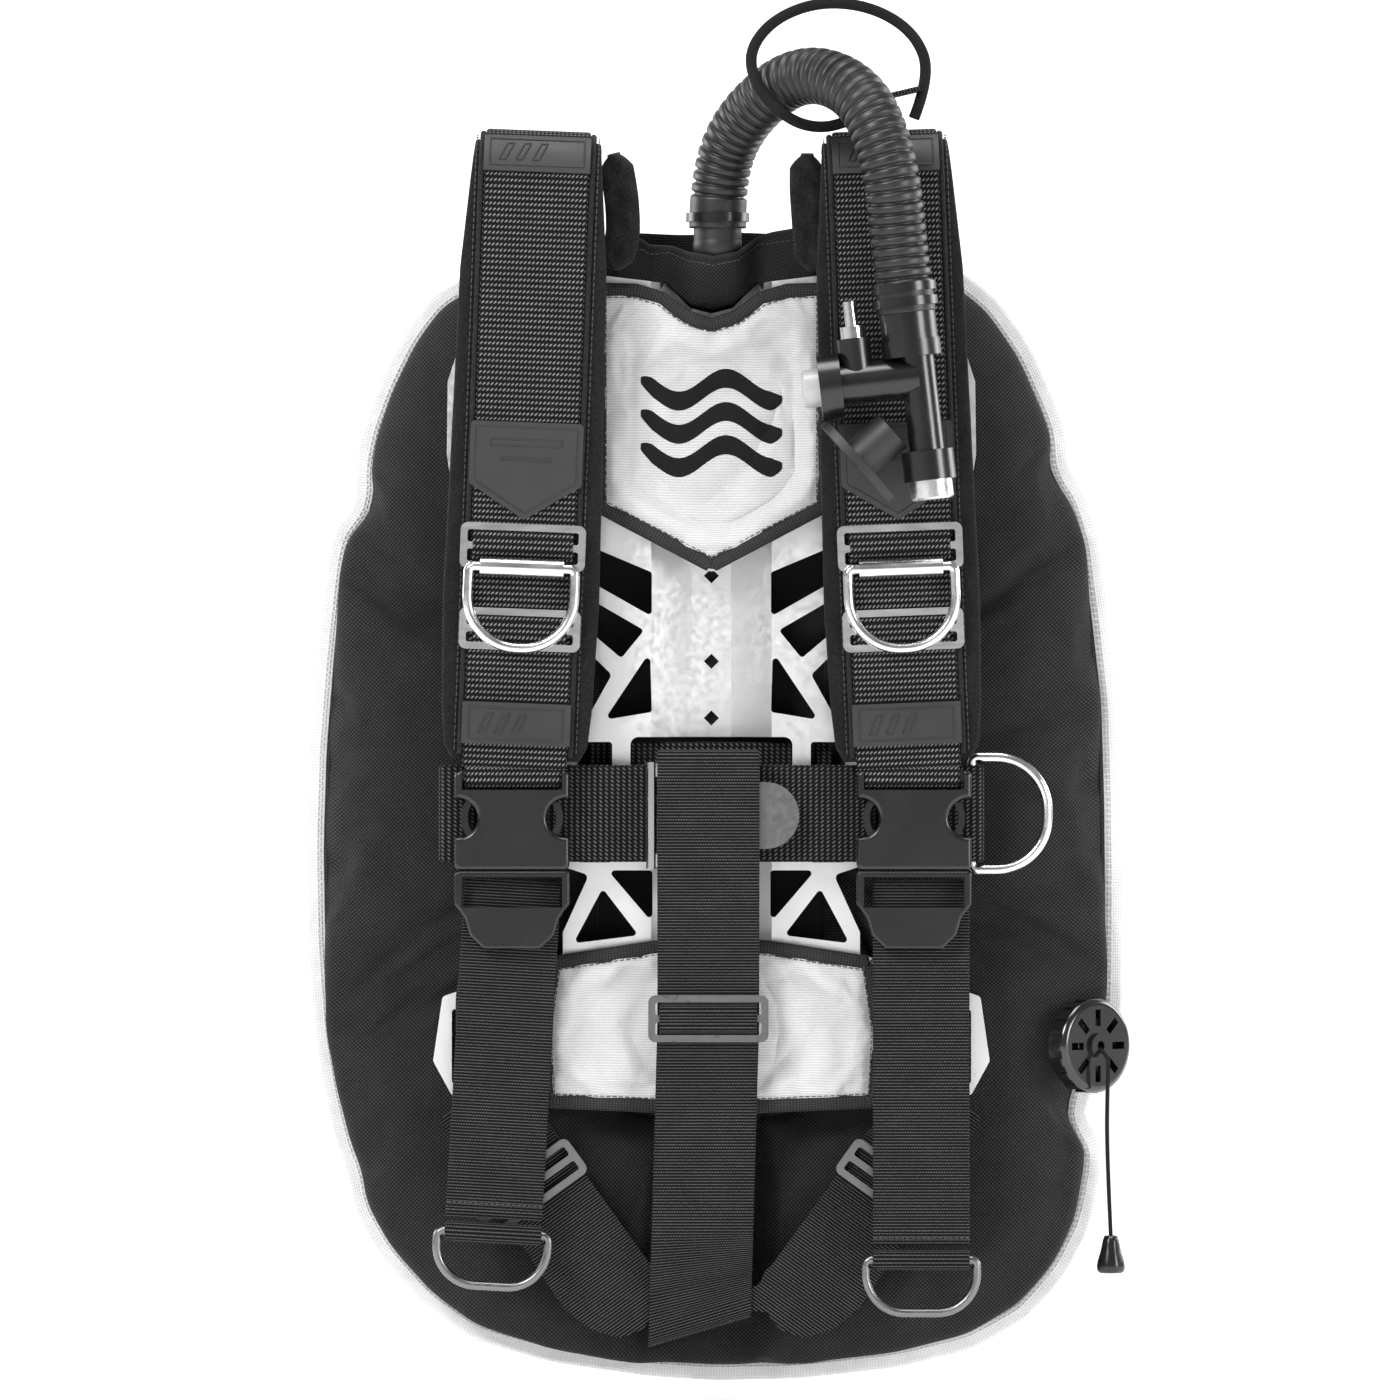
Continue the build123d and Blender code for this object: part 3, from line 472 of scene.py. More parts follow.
def inflate(piece, pinned, pressure, slack, frames=24, clamp=None):
    """Cloth simulation of a sewn cover: pinned points keep their place while the rest fills."""
    rest = np.zeros(len(piece.data.vertices) * 3, np.float32)
    piece.data.vertices.foreach_get("co", rest)
    group = piece.vertex_groups.new(name="seam")
    group.add([int(i) for i in np.nonzero(pinned)[0]], 1.0, "REPLACE")
    cloth = piece.modifiers.new("cloth", "CLOTH")
    cloth.settings.quality = 5
    cloth.settings.mass = 0.15
    cloth.settings.tension_stiffness = 25
    cloth.settings.compression_stiffness = 25
    cloth.settings.shear_stiffness = 12
    cloth.settings.bending_stiffness = 0.4
    cloth.settings.air_damping = 4
    cloth.settings.effector_weights.gravity = 0.0
    cloth.settings.vertex_group_mass = "seam"
    cloth.settings.use_pressure = True
    cloth.settings.uniform_pressure_force = pressure
    cloth.settings.shrink_min = -slack
    cloth.collision_settings.use_collision = False
    cloth.point_cache.frame_start = 1
    cloth.point_cache.frame_end = frames
    for number in range(1, frames + 1):
        scene.frame_set(number)
    graph = bpy.context.evaluated_depsgraph_get()
    settled = np.zeros_like(rest)
    piece.evaluated_get(graph).data.vertices.foreach_get("co", settled)
    piece.modifiers.clear()
    scene.frame_set(1)
    settled = settled.reshape(-1, 3) * 1000
    if clamp is not None:
        settled = clamp(settled, rest.reshape(-1, 3) * 1000)
    set_points(piece, settled)


def soften(piece):
    """Round a settled cover with one subdivision."""
    smooth = piece.modifiers.new("smooth", "SUBSURF")
    smooth.levels = 1
    smooth.render_levels = 1


# ---------------------------------------------------------------- cords and hose
def nurbs_line(points):
    """A NURBS curve with these points, in mm, as its control points."""
    curve = bpy.data.curves.new("route", "CURVE")
    curve.dimensions = "3D"
    curve.resolution_u = 24
    spline = curve.splines.new("NURBS")
    spline.points.add(len(points) - 1)
    for point, (x, y, z) in zip(spline.points, points):
        point.co = (x * 0.001, y * 0.001, z * 0.001, 1)
    spline.order_u = 3
    spline.use_endpoint_u = True
    return curve


def line_points(curve):
    """The points, in mm, along a curve that has no bevel."""
    holder = bpy.data.objects.new("route", curve)
    mesh = bpy.data.meshes.new_from_object(holder)
    points = np.array([tuple(v.co) for v in mesh.vertices]) * 1000
    bpy.data.objects.remove(holder)
    return points


def cord_piece(name, points, radius, material, replaces, body="root"):
    curve = nurbs_line(points)
    curve.bevel_depth = radius * 0.001
    curve.bevel_resolution = 5
    curve.use_fill_caps = True
    curve.materials.append(material)
    piece = bpy.data.objects.new(name, curve)
    scene.collection.objects.link(piece)
    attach(piece, body)
    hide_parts(*replaces)
    return piece


HOSE_ROUTE = [(3, -24.36, 221), (3, -24.36, 248), (16, -36, 276), (44, -58, 296), (72, -83, 284),
              (85, -94.5, 250), (89.1, -89, 212), (93, -89, 178)]
BUNGEE_ROUTE = [(84, -50, 270.9), (69, -53, 272.5), (54, -58, 267), (38, -68, 270), (23, -64, 284),
                (17, -52, 303), (29, -47, 320), (52, -46, 329), (78, -47, 326), (98, -48, 313),
                (105, -49, 293), (97, -50, 272.5)]
DUMP_ROUTE = [(180.92, -15.01, -172.8), (191.29, -26.53, -173.8), (190.6, -26, -191),
              (190.2, -25, -222), (192.2, -25.4, -264)]

HOSE_R = 13.75
HOSE_SIDES = 40
RIB_PITCH = 5.3
CUFF_LENGTH = 13
hose_line = line_points(nurbs_line(HOSE_ROUTE))
hose_path = resample(hose_line, 0.66)
hose_run = np.arange(len(hose_path)) * np.linalg.norm(hose_path[1] - hose_path[0])
to_end = np.minimum(hose_run, hose_run[-1] - hose_run)
turn_share = np.abs((hose_run / RIB_PITCH) % 1.0 - 0.5) * 2
groove = np.exp(-(((1 - turn_share) * RIB_PITCH / 2) / 0.75) ** 2)
hose_scale = 1 - (0.16 * groove + 0.012 * (1 - turn_share)) * np.clip((to_end - CUFF_LENGTH) / 2, 0, 1)
hose = sweep("corrugated_hose", hose_path, round_section(HOSE_R, HOSE_SIDES), X_AXIS + 0.2 * FRONT,
             HOSE_RUBBER, slot="hose_rubber", replaces=["inflator_hose"])
spread = mesh_points(hose).reshape(len(hose_path), HOSE_SIDES, 3) - hose_path[:, None]
set_points(hose, hose_path[:, None] + spread * hose_scale[:, None, None])

bungee = cord_piece("retaining_bungee", BUNGEE_ROUTE, 2.7, CORD, ["bungee_loop"])

dump_line = cord_piece("dump_pull_cord", DUMP_ROUTE, 1.0, CORD, ["dump_cord"], "dump_pull")
TOGGLE = [(0.6, -18), (5.2, -18), (6.6, -17), (6.9, -15), (6.6, -12.5), (5.2, -8), (4.3, -4), (3.9, -2),
          (3.1, 0), (1.2, 0.2)]
TOGGLE_SIDES = 32
toggle_path = np.array(DUMP_ROUTE[-1]) + [(0, 0, z) for _, z in TOGGLE]
toggle = sweep("dump_pull_toggle", toggle_path, round_section(1.0, TOGGLE_SIDES), X_AXIS, PLASTIC,
               body="dump_pull", slot="black_plastic", replaces=["dump_toggle"])
spread = mesh_points(toggle).reshape(len(TOGGLE), TOGGLE_SIDES, 3) - toggle_path[:, None]
flutes = 1 - 0.05 * (np.cos(8 * np.linspace(0, 2 * math.pi, TOGGLE_SIDES, endpoint=False)) > 0)
toggle_radii = np.array([r for r, _ in TOGGLE])[:, None] * flutes[None, :]
set_points(toggle, toggle_path[:, None] + spread * toggle_radii[..., None])


# ---------------------------------------------------------------- wing
WING_LEFT = [(-122.2, 197.8), (-135.1, 190.6), (-149.5, 171.4), (-161.5, 147.4), (-170.2, 123.4),
             (-173.5, 104.2), (-172.6, 94.6), (-173.5, 87.4), (-183.1, 77.8), (-187, 61),
             (-191.8, 17.8), (-195.6, -30.2), (-197, -78.2), (-196.1, -126.2), (-192.7, -169.4),
             (-187.9, -198.2), (-180.7, -227), (-176.9, -234.2), (-173.5, -253.4), (-161.5, -275),
             (-139.9, -299), (-115.9, -315.8), (-77.5, -326.9), (-29.5, -333.6)]
WING_RIGHT = [(1.2, -335.5), (42.5, -334.6), (90.5, -329.3), (126.5, -320.6), (152.9, -306.2),
              (172.1, -284.6), (184.1, -260.6), (189.8, -231.8), (188.9, -219.8), (181.7, -210.2),
              (180.7, -205.4), (186.5, -191), (197, -179), (199.4, -150.2), (199.9, -102.2),
              (199.4, -54.2), (198, -6.2), (193.7, 32.2), (188.9, 70.6), (181.7, 94.6),
              (172.6, 106.6), (172.6, 123.4), (167.3, 137.8), (155.3, 164.2), (138.5, 188.2),
              (121.7, 201.1), (92, 213), (50, 217), (0, 217.5), (-50, 217), (-92, 212)]
SEAM_Y = 13.0
AROUND = 440
ACROSS = 20
outer_edge = smooth_loop(WING_LEFT + WING_RIGHT, AROUND, 1)
hole = round_corners([(61, 149.5), (61, -205.5), (-61, -205.5), (-61, 149.5)], 39)[:, :2]


def matched(loop, targets, centre=(0.0, -40.0)):
    """Points of loop that lie in the same directions from centre as the targets."""
    dense = resample(loop, 0.5, closed=True)[:-1] - centre
    angle = np.unwrap(np.arctan2(dense[:, 1], dense[:, 0]))
    order = np.argsort(np.mod(angle, 2 * math.pi))
    angles = np.mod(angle, 2 * math.pi)[order]
    wanted = np.mod(np.arctan2(targets[:, 1] - centre[1], targets[:, 0] - centre[0]), 2 * math.pi)
    x = np.interp(wanted, angles, dense[order, 0], period=2 * math.pi)
    z = np.interp(wanted, angles, dense[order, 1], period=2 * math.pi)
    return np.stack([x, z], axis=1) + centre


def loop_normal(loop):
    """Outward normals in the plane of a closed outline."""
    tangent = unit(np.roll(loop, -1, axis=0) - np.roll(loop, 1, axis=0))
    normal = np.stack([tangent[:, 1], -tangent[:, 0]], axis=1)
    outwards = ((loop - loop.mean(0)) * normal).sum(1).mean() > 0
    return normal if outwards else -normal


outer_normal = loop_normal(outer_edge)
fabric_edge = outer_edge - outer_normal * 8.0
inner_edge = matched(hole, fabric_edge)
share = np.linspace(0, 1, ACROSS + 1)
share = 0.55 * share + 0.45 * (0.5 - 0.5 * np.cos(math.pi * share))
round_profile = (1 - np.abs(2 * share - 1) ** 2.6) ** (1 / 2.6)
wing_rows = fabric_edge[None] * (1 - share[:, None, None]) + inner_edge[None] * share[:, None, None]
seam = SEAM_Y + (-1.2 - SEAM_Y) * np.clip((share - 0.5) * 2, 0, 1) ** 2


def front_limit(x, z):
    """The furthest forward that the wing may lie, in y: behind the plate and its trough."""
    trough = np.clip((np.abs(x) - 20) / 12, 0, 1)
    near = -1.0 - 17.6 * trough
    over = np.clip((z - 188) / 14, 0, 1)
    return near * (1 - over) - 18.6 * over


front_y = seam[:, None] - (seam[:, None] + 17.5) * round_profile[:, None]
front_y = np.maximum(front_y, front_limit(wing_rows[..., 0], wing_rows[..., 1]))
back_y = seam[:, None] + (43.5 - seam[:, None]) * round_profile[:, None] + 0 * wing_rows[..., 0]
front_face = np.stack([wing_rows[..., 0], front_y, wing_rows[..., 1]], axis=2)
back_face = np.stack([wing_rows[..., 0], back_y, wing_rows[..., 1]], axis=2)[1:-1]
wing_verts = np.vstack([front_face.reshape(-1, 3), back_face.reshape(-1, 3)])
front_id = np.arange((ACROSS + 1) * AROUND).reshape(ACROSS + 1, AROUND)
back_id = np.arange((ACROSS - 1) * AROUND).reshape(ACROSS - 1, AROUND) + front_id.size
back_id = np.vstack([front_id[:1], back_id, front_id[-1:]])
wing_faces = []
for grid in (front_id, back_id):
    for i in range(ACROSS):
        for j in range(AROUND):
            k = (j + 1) % AROUND
            wing_faces.append((grid[i, j], grid[i, k], grid[i + 1, k], grid[i + 1, j]))
diagonal = (wing_verts[:, 0] + wing_verts[:, 2]) / math.sqrt(2)
across_diagonal = (wing_verts[:, 0] - wing_verts[:, 2]) / math.sqrt(2)
wing = add_mesh("wing_air_cell", wing_verts, wing_faces, WING, np.stack([diagonal, across_diagonal], 1),
                slot="wing_fabric",
                replaces=["wing_front_shell", "wing_back_shell", "inner_bladder"])
wing_pinned = np.zeros(len(wing_verts), bool)
wing_pinned[front_id[0]] = True
wing_pinned[front_id[-1]] = True


def wing_clamp(settled, rest):
    """Keep the filled wing behind the plate and inside its own depth."""
    settled = settled.copy()
    front = rest[:, 1] < SEAM_Y
    limit = front_limit(settled[:, 0], settled[:, 2])
    settled[:, 1] = np.where(front, np.maximum(settled[:, 1], limit), settled[:, 1])
    settled[:, 1] = np.minimum(settled[:, 1], 47.0)
    return settled


inflate(wing, wing_pinned, 1.2, 0.045, frames=22, clamp=wing_clamp)
soften(wing)

tape_line = outer_edge - outer_normal * 4.8
tape_side = at_depth(outer_normal, 0.0)
sweep("wing_binding_tape", at_depth(tape_line, SEAM_Y), flat_section(10.4, 3.4, 9, 0.5), tape_side, TAPE,
      loop=True, slot="binding_tape", replaces=["wing_edge_binding"],
      lift=lambda a, run, b: 0.12 * np.sin(run / 3.7) * (a > 0))
for row, inset in enumerate((6.3, 7.6)):
    for face, y in (("front", SEAM_Y - 2.0), ("back", SEAM_Y + 2.0)):
        path = closed_line(at_depth(outer_edge - outer_normal * inset, y))
        stitches(f"binding_stitch_{face}_{row}", path, 2.7, 1.9, 0.5, FRONT if face == "front" else -FRONT,
                 THREAD)
edge_line = outer_edge - outer_normal * 10.6
sweep("wing_edge_piping", at_depth(edge_line, SEAM_Y), flat_section(1.6, 4.2, 3), tape_side, DARK_TAPE,
      loop=True)
hole_side = at_depth(loop_normal(hole), 0.0)
sweep("wing_panel_seam_tape", at_depth(hole, -3.3), flat_section(13, 1.2, 5), hole_side, COLLAR, loop=True,
      slot="wing_fabric")


# ---------------------------------------------------------------- back pads
UPPER_PAD = [(0, 177.6), (10.5, 181), (22.5, 190), (36, 194), (57.5, 194.5), (57.5, 85), (0, 54.7)]
LUMBAR_PAD = [(0, -120.8), (27, -121.8), (79, -129.8), (84, -165), (82, -202.2), (0, -205.8)]
PAD_BACK = -24.3
PAD_FRONT = -33.6


def pad_height(distance):
    """Low under the edge binding, then a rounded rise to the full thickness."""
    rise = np.clip((distance - 5.5) / 12, 0, 1)
    return 0.45 + 0.55 * np.clip(1 - (1 - rise) ** 2, 0, 1) ** 0.5


def pad_clamp(settled, rest):
    """Keep a settled pad between the plate behind it and its own front."""
    far = 999
    return np.clip(settled, (-far, PAD_FRONT - 1.5, -far), (far, PAD_BACK + 0.4, far))


for name, half, node in (("upper_pad", UPPER_PAD, "upper_back_pad"), ("lower_pad", LUMBAR_PAD, "lumbar_pad")):
    outline = round_corners(mirrored(half), 3.0)
    verts, faces, uv, distance = slab_mesh(outline, PAD_FRONT, PAD_BACK, 3.2, pad_height)
    pad = add_mesh(name, verts, faces, TWILL, uv, slot="pad_fabric", replaces=[node])
    inflate(pad, distance < 7.5, 0.6, 0.05, frames=20, clamp=pad_clamp)
    soften(pad)
    normal = loop_normal(outline)
    path = at_depth(outline - normal * 4.0, (PAD_FRONT + PAD_BACK) / 2)
    sweep(f"{name}_binding", path, flat_section(8.6, 7.2, 7), at_depth(normal, 0.0), DARK_TAPE, loop=True,
          slot="shoulder_pad_fabric")
    path = closed_line(at_depth(outline - normal * 6.9, PAD_FRONT + 0.9))
    stitches(f"{name}_stitching", path, 3.0, 2.1, 0.5, FRONT, DARK_THREAD)


# ---------------------------------------------------------------- shoulder straps
ARCH_R = 19.0
ARCH_Y = -50.2
ARCH_Z = 241.0
CHEST_Y = -50.0
SLOPE = math.radians(7.0)
WEB_OUT = 5.55


def strap_path(out, low_z, end_z, step=2.0):
    """The shoulder arch and chest line, moved outwards from the pad's middle by out."""
    radius = ARCH_R + out
    rear_y = ARCH_Y + radius
    chest_y = CHEST_Y - out
    top = ARCH_Z + radius
    rise, run = math.sin(SLOPE), math.cos(SLOPE)
    slope = (chest_y - ARCH_Y + run * radius) / rise
    corners = [(0, rear_y, low_z), (0, rear_y, top), (0, ARCH_Y - radius * (1 + rise) / run, top),
               (0, chest_y, ARCH_Z - rise * radius - run * slope), (0, chest_y, end_z)]
    return rounded_path(corners, [radius - 0.1, radius - 0.1, 150 - out], step)


def on_strap(sign, points):
    """Points in a strap's own frame, moved to its side of the body."""
    lean = math.radians(-2.2 * sign)
    p = np.asarray(points, float) - (0, 0, 100)
    turned = np.stack([p[:, 0] * math.cos(lean) + p[:, 2] * math.sin(lean), p[:, 1],
                       p[:, 2] * math.cos(lean) - p[:, 0] * math.sin(lean)], axis=1)
    return turned + (89.0 * sign, 0, 100)


def strap_side(sign):
    lean = math.radians(-2.2 * sign)
    return np.array((math.cos(lean), 0, -math.sin(lean)))


pad_line = strap_path(0, 199, -35.0)
pad_half = np.interp(pad_line[:, 2], [-35, -28, -10, 40, 200, 262], [30.5, 34.5, 36, 37.5, 35, 30])
pad_half[: len(pad_half) // 6] = np.minimum(pad_half[: len(pad_half) // 6], 30)
shell_round = round_section(1.0, 56)
shell = np.sign(shell_round) * np.abs(shell_round) ** (0.55, 0.62) * (1.0, 3.9)


def pad_lift(seed):
    """Soft unevenness of a shoulder pad, with a groove beside its piping."""
    def lift(a, run, b):
        wave = 0.35 * np.sin(run / 17 + seed) + 0.3 * np.sin(run / 7.3 + a / 9 + 2 * seed)
        groove = 0.9 * np.exp(-((np.abs(a) - 27.4) / 1.2) ** 2)
        return np.sign(b) * (wave * (np.abs(a) > 26) - groove)
    return lift


for side_name, sign in SIDES.items():
    across = strap_side(sign)
    pad = sweep(f"{side_name}_strap_pad", on_strap(sign, pad_line), shell, across, VELOUR, width=pad_half,
                lift=pad_lift(sign), slot="shoulder_pad_fabric", replaces=[f"{side_name}_shoulder_pad"])
    web_line = strap_path(WEB_OUT, 172, -39.0, 1.5)
    sweep(f"{side_name}_strap_webbing", on_strap(sign, web_line), flat_section(50, 2.5, 15), across, WEBBING,
          slot="webbing_dash", replaces=[f"{side_name}_shoulder_webbing"])
    for edge in (-1, 1):
        place = "inner" if edge * sign < 0 else "outer"
        line = strap_path(4.5, 199, -33.0, 0.8) + X_AXIS * edge * 26.4
        run = np.arange(len(line)) * 0.8
        sweep(f"{side_name}_piping_{place}", on_strap(sign, line), round_section(1.35, 8), across, PIPING,
              width=1 + 0.12 * np.sin(run * 2 * math.pi / 3.2))
        stitch_line = strap_path(4.15, 205, -30.0, 1.5) + X_AXIS * edge * 29.2
        stitches(f"{side_name}_pad_stitch_{place}", on_strap(sign, stitch_line), 3.2, 2.2, 0.5, FRONT,
                 DARK_THREAD)


# ---------------------------------------------------------------- other webbing
WEB_T = 2.5
BELT_Z = -60.7
REAR_BELT_Z = -51.2
for side_name, sign in SIDES.items():
    corners = [(sign * 33, -19.15, BELT_Z), (sign * 53, -19.15, BELT_Z), (sign * 60, -31, BELT_Z),
               (sign * 129.75, -31, BELT_Z), (sign * 129.75, -41, BELT_Z), (sign * 1, -41, BELT_Z)]
    belt_line = rounded_path(corners, [4, 4, 4.9, 4.9], 1.2)
    sweep(f"waist_belt_{side_name}", belt_line, flat_section(46.6, WEB_T, 13), (0, 0, 1), BELT,
          slot="webbing", replaces=["waist_belt"])

rear_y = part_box("rear_belt")[0].y * 1000 + WEB_T / 2
rear_line = resample([(-58, rear_y, REAR_BELT_Z), (58, rear_y, REAR_BELT_Z)], 2.0)
sweep("rear_belt_webbing", rear_line, flat_section(49.6, WEB_T, 13), (0, 0, 1), BELT, slot="webbing",
      replaces=["rear_belt"])

CROTCH = [(-35.5, -95), (-35.5, -31.2), (-57.3, -31.2), (-57.3, -92), (-46, -140), (-39, -318),
          (-31.5, -318), (-31.5, -292)]
CROTCH_X = -1.5
crotch_line = rounded_path([(CROTCH_X, y, z) for y, z in CROTCH], [3, 3, 6, 30, 60, 3.5, 3.5], 1.5)
crotch = sweep("crotch_webbing", crotch_line, flat_section(49, WEB_T, 13), X_AXIS, FINE_WEB, slot="webbing",
               replaces=["crotch_strap"])
for vertex in crotch.data.vertices:  # the strap leans left, and its low end hangs askew
    fall = min(max((-0.262 - vertex.co.z) / 0.045, 0.0), 1.0)
    vertex.co.z += 0.30 * fall * (vertex.co.x + 0.026)
    vertex.co.x += 0.028 * min(vertex.co.z + 0.16, 0.0)

LEG_SHAPE = [(0, -289), (23, -288), (25.5, -281), (29.5, -277.4), (97, -184), (131, -208), (71, -299),
             (58, -309), (44, -313), (33, -309), (26, -300), (0, -301.5)]
verts, faces, flat, _ = slab_mesh(round_corners(mirrored(LEG_SHAPE), 2.5), -29.8, -27.5, 3.0)
leg_angle = math.atan2(93.4, 67.5)
out, up = np.abs(flat[:, 0]), flat[:, 1]
leg_uv = np.stack([up * math.cos(leg_angle) - out * math.sin(leg_angle),
                   out * math.cos(leg_angle) + up * math.sin(leg_angle)], axis=1)
add_mesh("leg_webbing", verts, faces, FINE_WEB, leg_uv, slot="webbing", replaces=["crotch_y_webbing"],
         smooth=False)

TAILS = {"left": ((-95.2, -92.5), 3.2, -262.0), "right": ((100.5, -92.5), 0.0, -274.5)}
TAIL_W = 46.5
for side_name, ((x, top), lean, low) in TAILS.items():
    swing = math.radians(lean)
    direction = np.array((-math.sin(swing), 0, -math.cos(swing)))
    across = np.array((math.cos(swing), 0, -math.sin(swing)))
    start = np.array((x, -49.0, top))
    end = start + direction * (top - low)
    body = f"{side_name}_clip"
    sweep(f"{side_name}_tail_strap", resample([start, end - direction * 7], 1.5),
          flat_section(TAIL_W, WEB_T, 13), across, FINE_WEB, body=body, slot="webbing",
          replaces=[f"{side_name}_tail_webbing"])
    turn = [end + direction * 3.7 * math.cos(a) + FRONT * 3.7 * math.sin(a)
            for a in np.linspace(0, 2 * math.pi, 28, endpoint=False)]
    sweep(f"{side_name}_tail_eye", turn, flat_section(TAIL_W, 2.3, 13), across, FINE_WEB, loop=True,
          body=body, slot="webbing")
    for row in (10.5, 14.0):
        middle = end - direction * row + FRONT * 1.3
        stitches(f"{side_name}_tail_stitch_{int(row)}", [middle - across * 22, middle + across * 22],
                 2.6, 1.9, 0.6, FRONT, DARK_THREAD, body)

for side_name, sign in SIDES.items():
    lower = rounded_path([(sign * 110, -31, -172), (sign * 110, -35, -150), (sign * 105, -43, -118),
                          (sign * 101, -43.2, -106)], [20, 20], 1.5)
    sweep(f"{side_name}_lower_webbing", lower, flat_section(26, WEB_T, 9), (0.9, 0, sign * 0.3), FINE_WEB,
          slot="webbing", replaces=[f"{side_name}_lower_strap"])


# ---------------------------------------------------------------- webbing over the sliders' middle bars
def over_bar(x, z, rise, back, front):
    """The route of webbing that comes forward over a slider's middle bar at (x, z)."""
    turn = rise * 0.52
    corners = [(x, back, z + rise), (x, front, z + turn), (x, front, z - turn), (x, back, z - rise)]
    return rounded_path(corners, [2.6, 2.6], 0.5)


for side_name, sign in SIDES.items():
    for name, z, rise, front, width in (("adjuster", 27.4, 7.2, -60.0, 45), ("d_ring", 68.2, 6.2, -60.2, 48)):
        sweep(f"{side_name}_{name}_webbing", on_strap(sign, over_bar(0, z, rise, -57.0, front)),
              flat_section(width, 2.2, 13), strap_side(sign), WEBBING, slot="webbing_dash")
sweep("crotch_slider_webbing", over_bar(CROTCH_X, -159, 7.8, -46.8, -51.4), flat_section(47, 2.2, 13), X_AXIS,
      FINE_WEB, slot="webbing_dash")

tab_path = rounded_path([(57, -46, 268), (72, -46.5, 278), (86, -47, 283.5), (101, -48, 287)], [20, 20], 1.0)
sweep("strap_top_loop", tab_path, flat_section(17, 2.3, 9), FRONT, FINE_WEB, slot="webbing")


# ---------------------------------------------------------------- webbing ends in the buckles
for side_name, x in (("left", -95.0), ("right", 95.6)):
    turn = rounded_path([(x, -55.4, -38.0), (x, -55.4, -46.8), (x, -50.0, -47.4)], [3.0], 0.6)
    sweep(f"{side_name}_webbing_turn", turn, flat_section(46.5, 2.4, 13), X_AXIS, WEBBING,
          slot="webbing_dash")


# ---------------------------------------------------------------- neck collar and bunched pad cloth
columns = np.linspace(-46, 50, 97)
low_edge = np.interp(columns, [-46, -27, -22, -17, -10, 0, 10, 17, 22, 27, 50],
                     [186, 188, 195.2, 190.2, 184, 181.6, 184, 190.2, 195.2, 188, 186])
top_edge = np.interp(columns, [-46, -34, -30, -19, -11, 1, 13, 23, 30, 39, 50],
                     [214, 215, 212.2, 211.6, 208.4, 206, 208.4, 216.5, 218.5, 220, 220])
rows = np.linspace(0, 1, 22)[:, None]
height = low_edge * (1 - rows) + top_edge * rows
across = np.broadcast_to(columns, height.shape)
swell = np.exp(-((across - 3) / 15) ** 4) * np.clip((height - 182) / 20, 0, 1) ** 0.7
ripple = np.sin(across / 5.5 + height / 9) * np.clip((np.abs(across - 3) - 12) / 8, 0, 1)
depth = np.maximum(-19.7 - 17.6 * swell - 0.5 * ripple, -38.2)
depth[:, np.abs(columns) < 29] = np.minimum(depth[:, np.abs(columns) < 29], -19.7)
front_grid = np.stack([across, depth, height], axis=2).reshape(-1, 3)
count = len(front_grid)
index = np.arange(count).reshape(height.shape)
quads = np.stack([index[:-1, :-1], index[:-1, 1:], index[1:, 1:], index[1:, :-1]], axis=2).reshape(-1, 4)
border = np.concatenate([index[0], index[1:, -1], index[-1, -2::-1], index[-2:0:-1, 0]])
after = np.roll(border, -1)
rim = np.stack([border, after, after + count, border + count], axis=1)
grid_x, _, grid_z = front_grid.T
turned = np.stack([grid_x + grid_z, grid_x - grid_z], axis=1) / math.sqrt(2)
add_mesh("neck_collar", np.vstack([front_grid, front_grid + (0, 1.1, 0)]),
         np.vstack([quads, quads[:, ::-1] + count, rim]), COLLAR, np.vstack([turned, turned]),
         slot="wing_fabric")
hem = np.stack([columns, depth[-1] + 0.3, top_edge], axis=1)
sweep("neck_collar_hem", resample(hem, 1.2), round_section(1.0, 8), FRONT, DARK_TAPE)
seam_row = np.stack([columns, depth[-4] - 0.1, height[-4]], axis=1)
stitches("neck_collar_stitching", seam_row, 2.6, 1.8, 0.45, FRONT, DARK_THREAD)
cover_x = np.linspace(-44, 46, 61)
cover = np.stack([cover_x, 9.2 - 0.8 * np.sin(cover_x / 5), 212.6 + 0.5 * np.sin(cover_x / 9)], axis=1)
sweep("neck_rear_cloth", cover, flat_section(14, 1.4, 9), (0, 0, 1), COLLAR, slot="wing_fabric")


def crumple(a, run, b):
    """Folds of bunched cloth."""
    fold = 1.5 * np.sin(run / 4.1 + a / 3.0) + 1.1 * np.sin(run / 2.3 - a / 2.1 + 1.3)
    return np.sign(b) * (fold + 0.8 * np.sin(a / 1.7)) * 0.5


BUNCHED = {
    "left": [(-47, -37, 256), (-44, -35, 242), (-42.5, -33.5, 228), (-42.5, -33, 214), (-47, -33, 201)],
    "right": [(46, -37, 256), (45.5, -35, 242), (46.5, -33.5, 228), (47.5, -33, 214), (49, -33, 200)],
}
for side_name, route in BUNCHED.items():
    line = resample(line_points(nurbs_line(route)), 1.0)
    place = np.arange(len(line))
    ends = np.clip(np.minimum(place, place[::-1]) / 7, 0.15, 1) ** 0.5
    sweep(f"{side_name}_pad_bunched_edge", line, flat_section(17, 9, 15, 0.8), X_AXIS, FLEECE, width=ends,
          lift=crumple, slot="shoulder_pad_fabric")


# ---------------------------------------------------------------- relief on the rubber pieces
def relief(name, loops, place, radius=0.42):
    """Raised lines on a rubber piece; each loop is drawn flat and place puts it on the piece."""
    for number, loop in enumerate(loops):
        path = place(resample(loop, 1.0, closed=True)[:-1])
        sweep(f"{name}_line_{number}", path, round_section(radius, 6), FRONT + 0.01 * X_AXIS, DARK_RUBBER,
              loop=True)


def rectangle(width, low, high):
    return [(-width / 2, low), (width / 2, low), (width / 2, high), (-width / 2, high)]


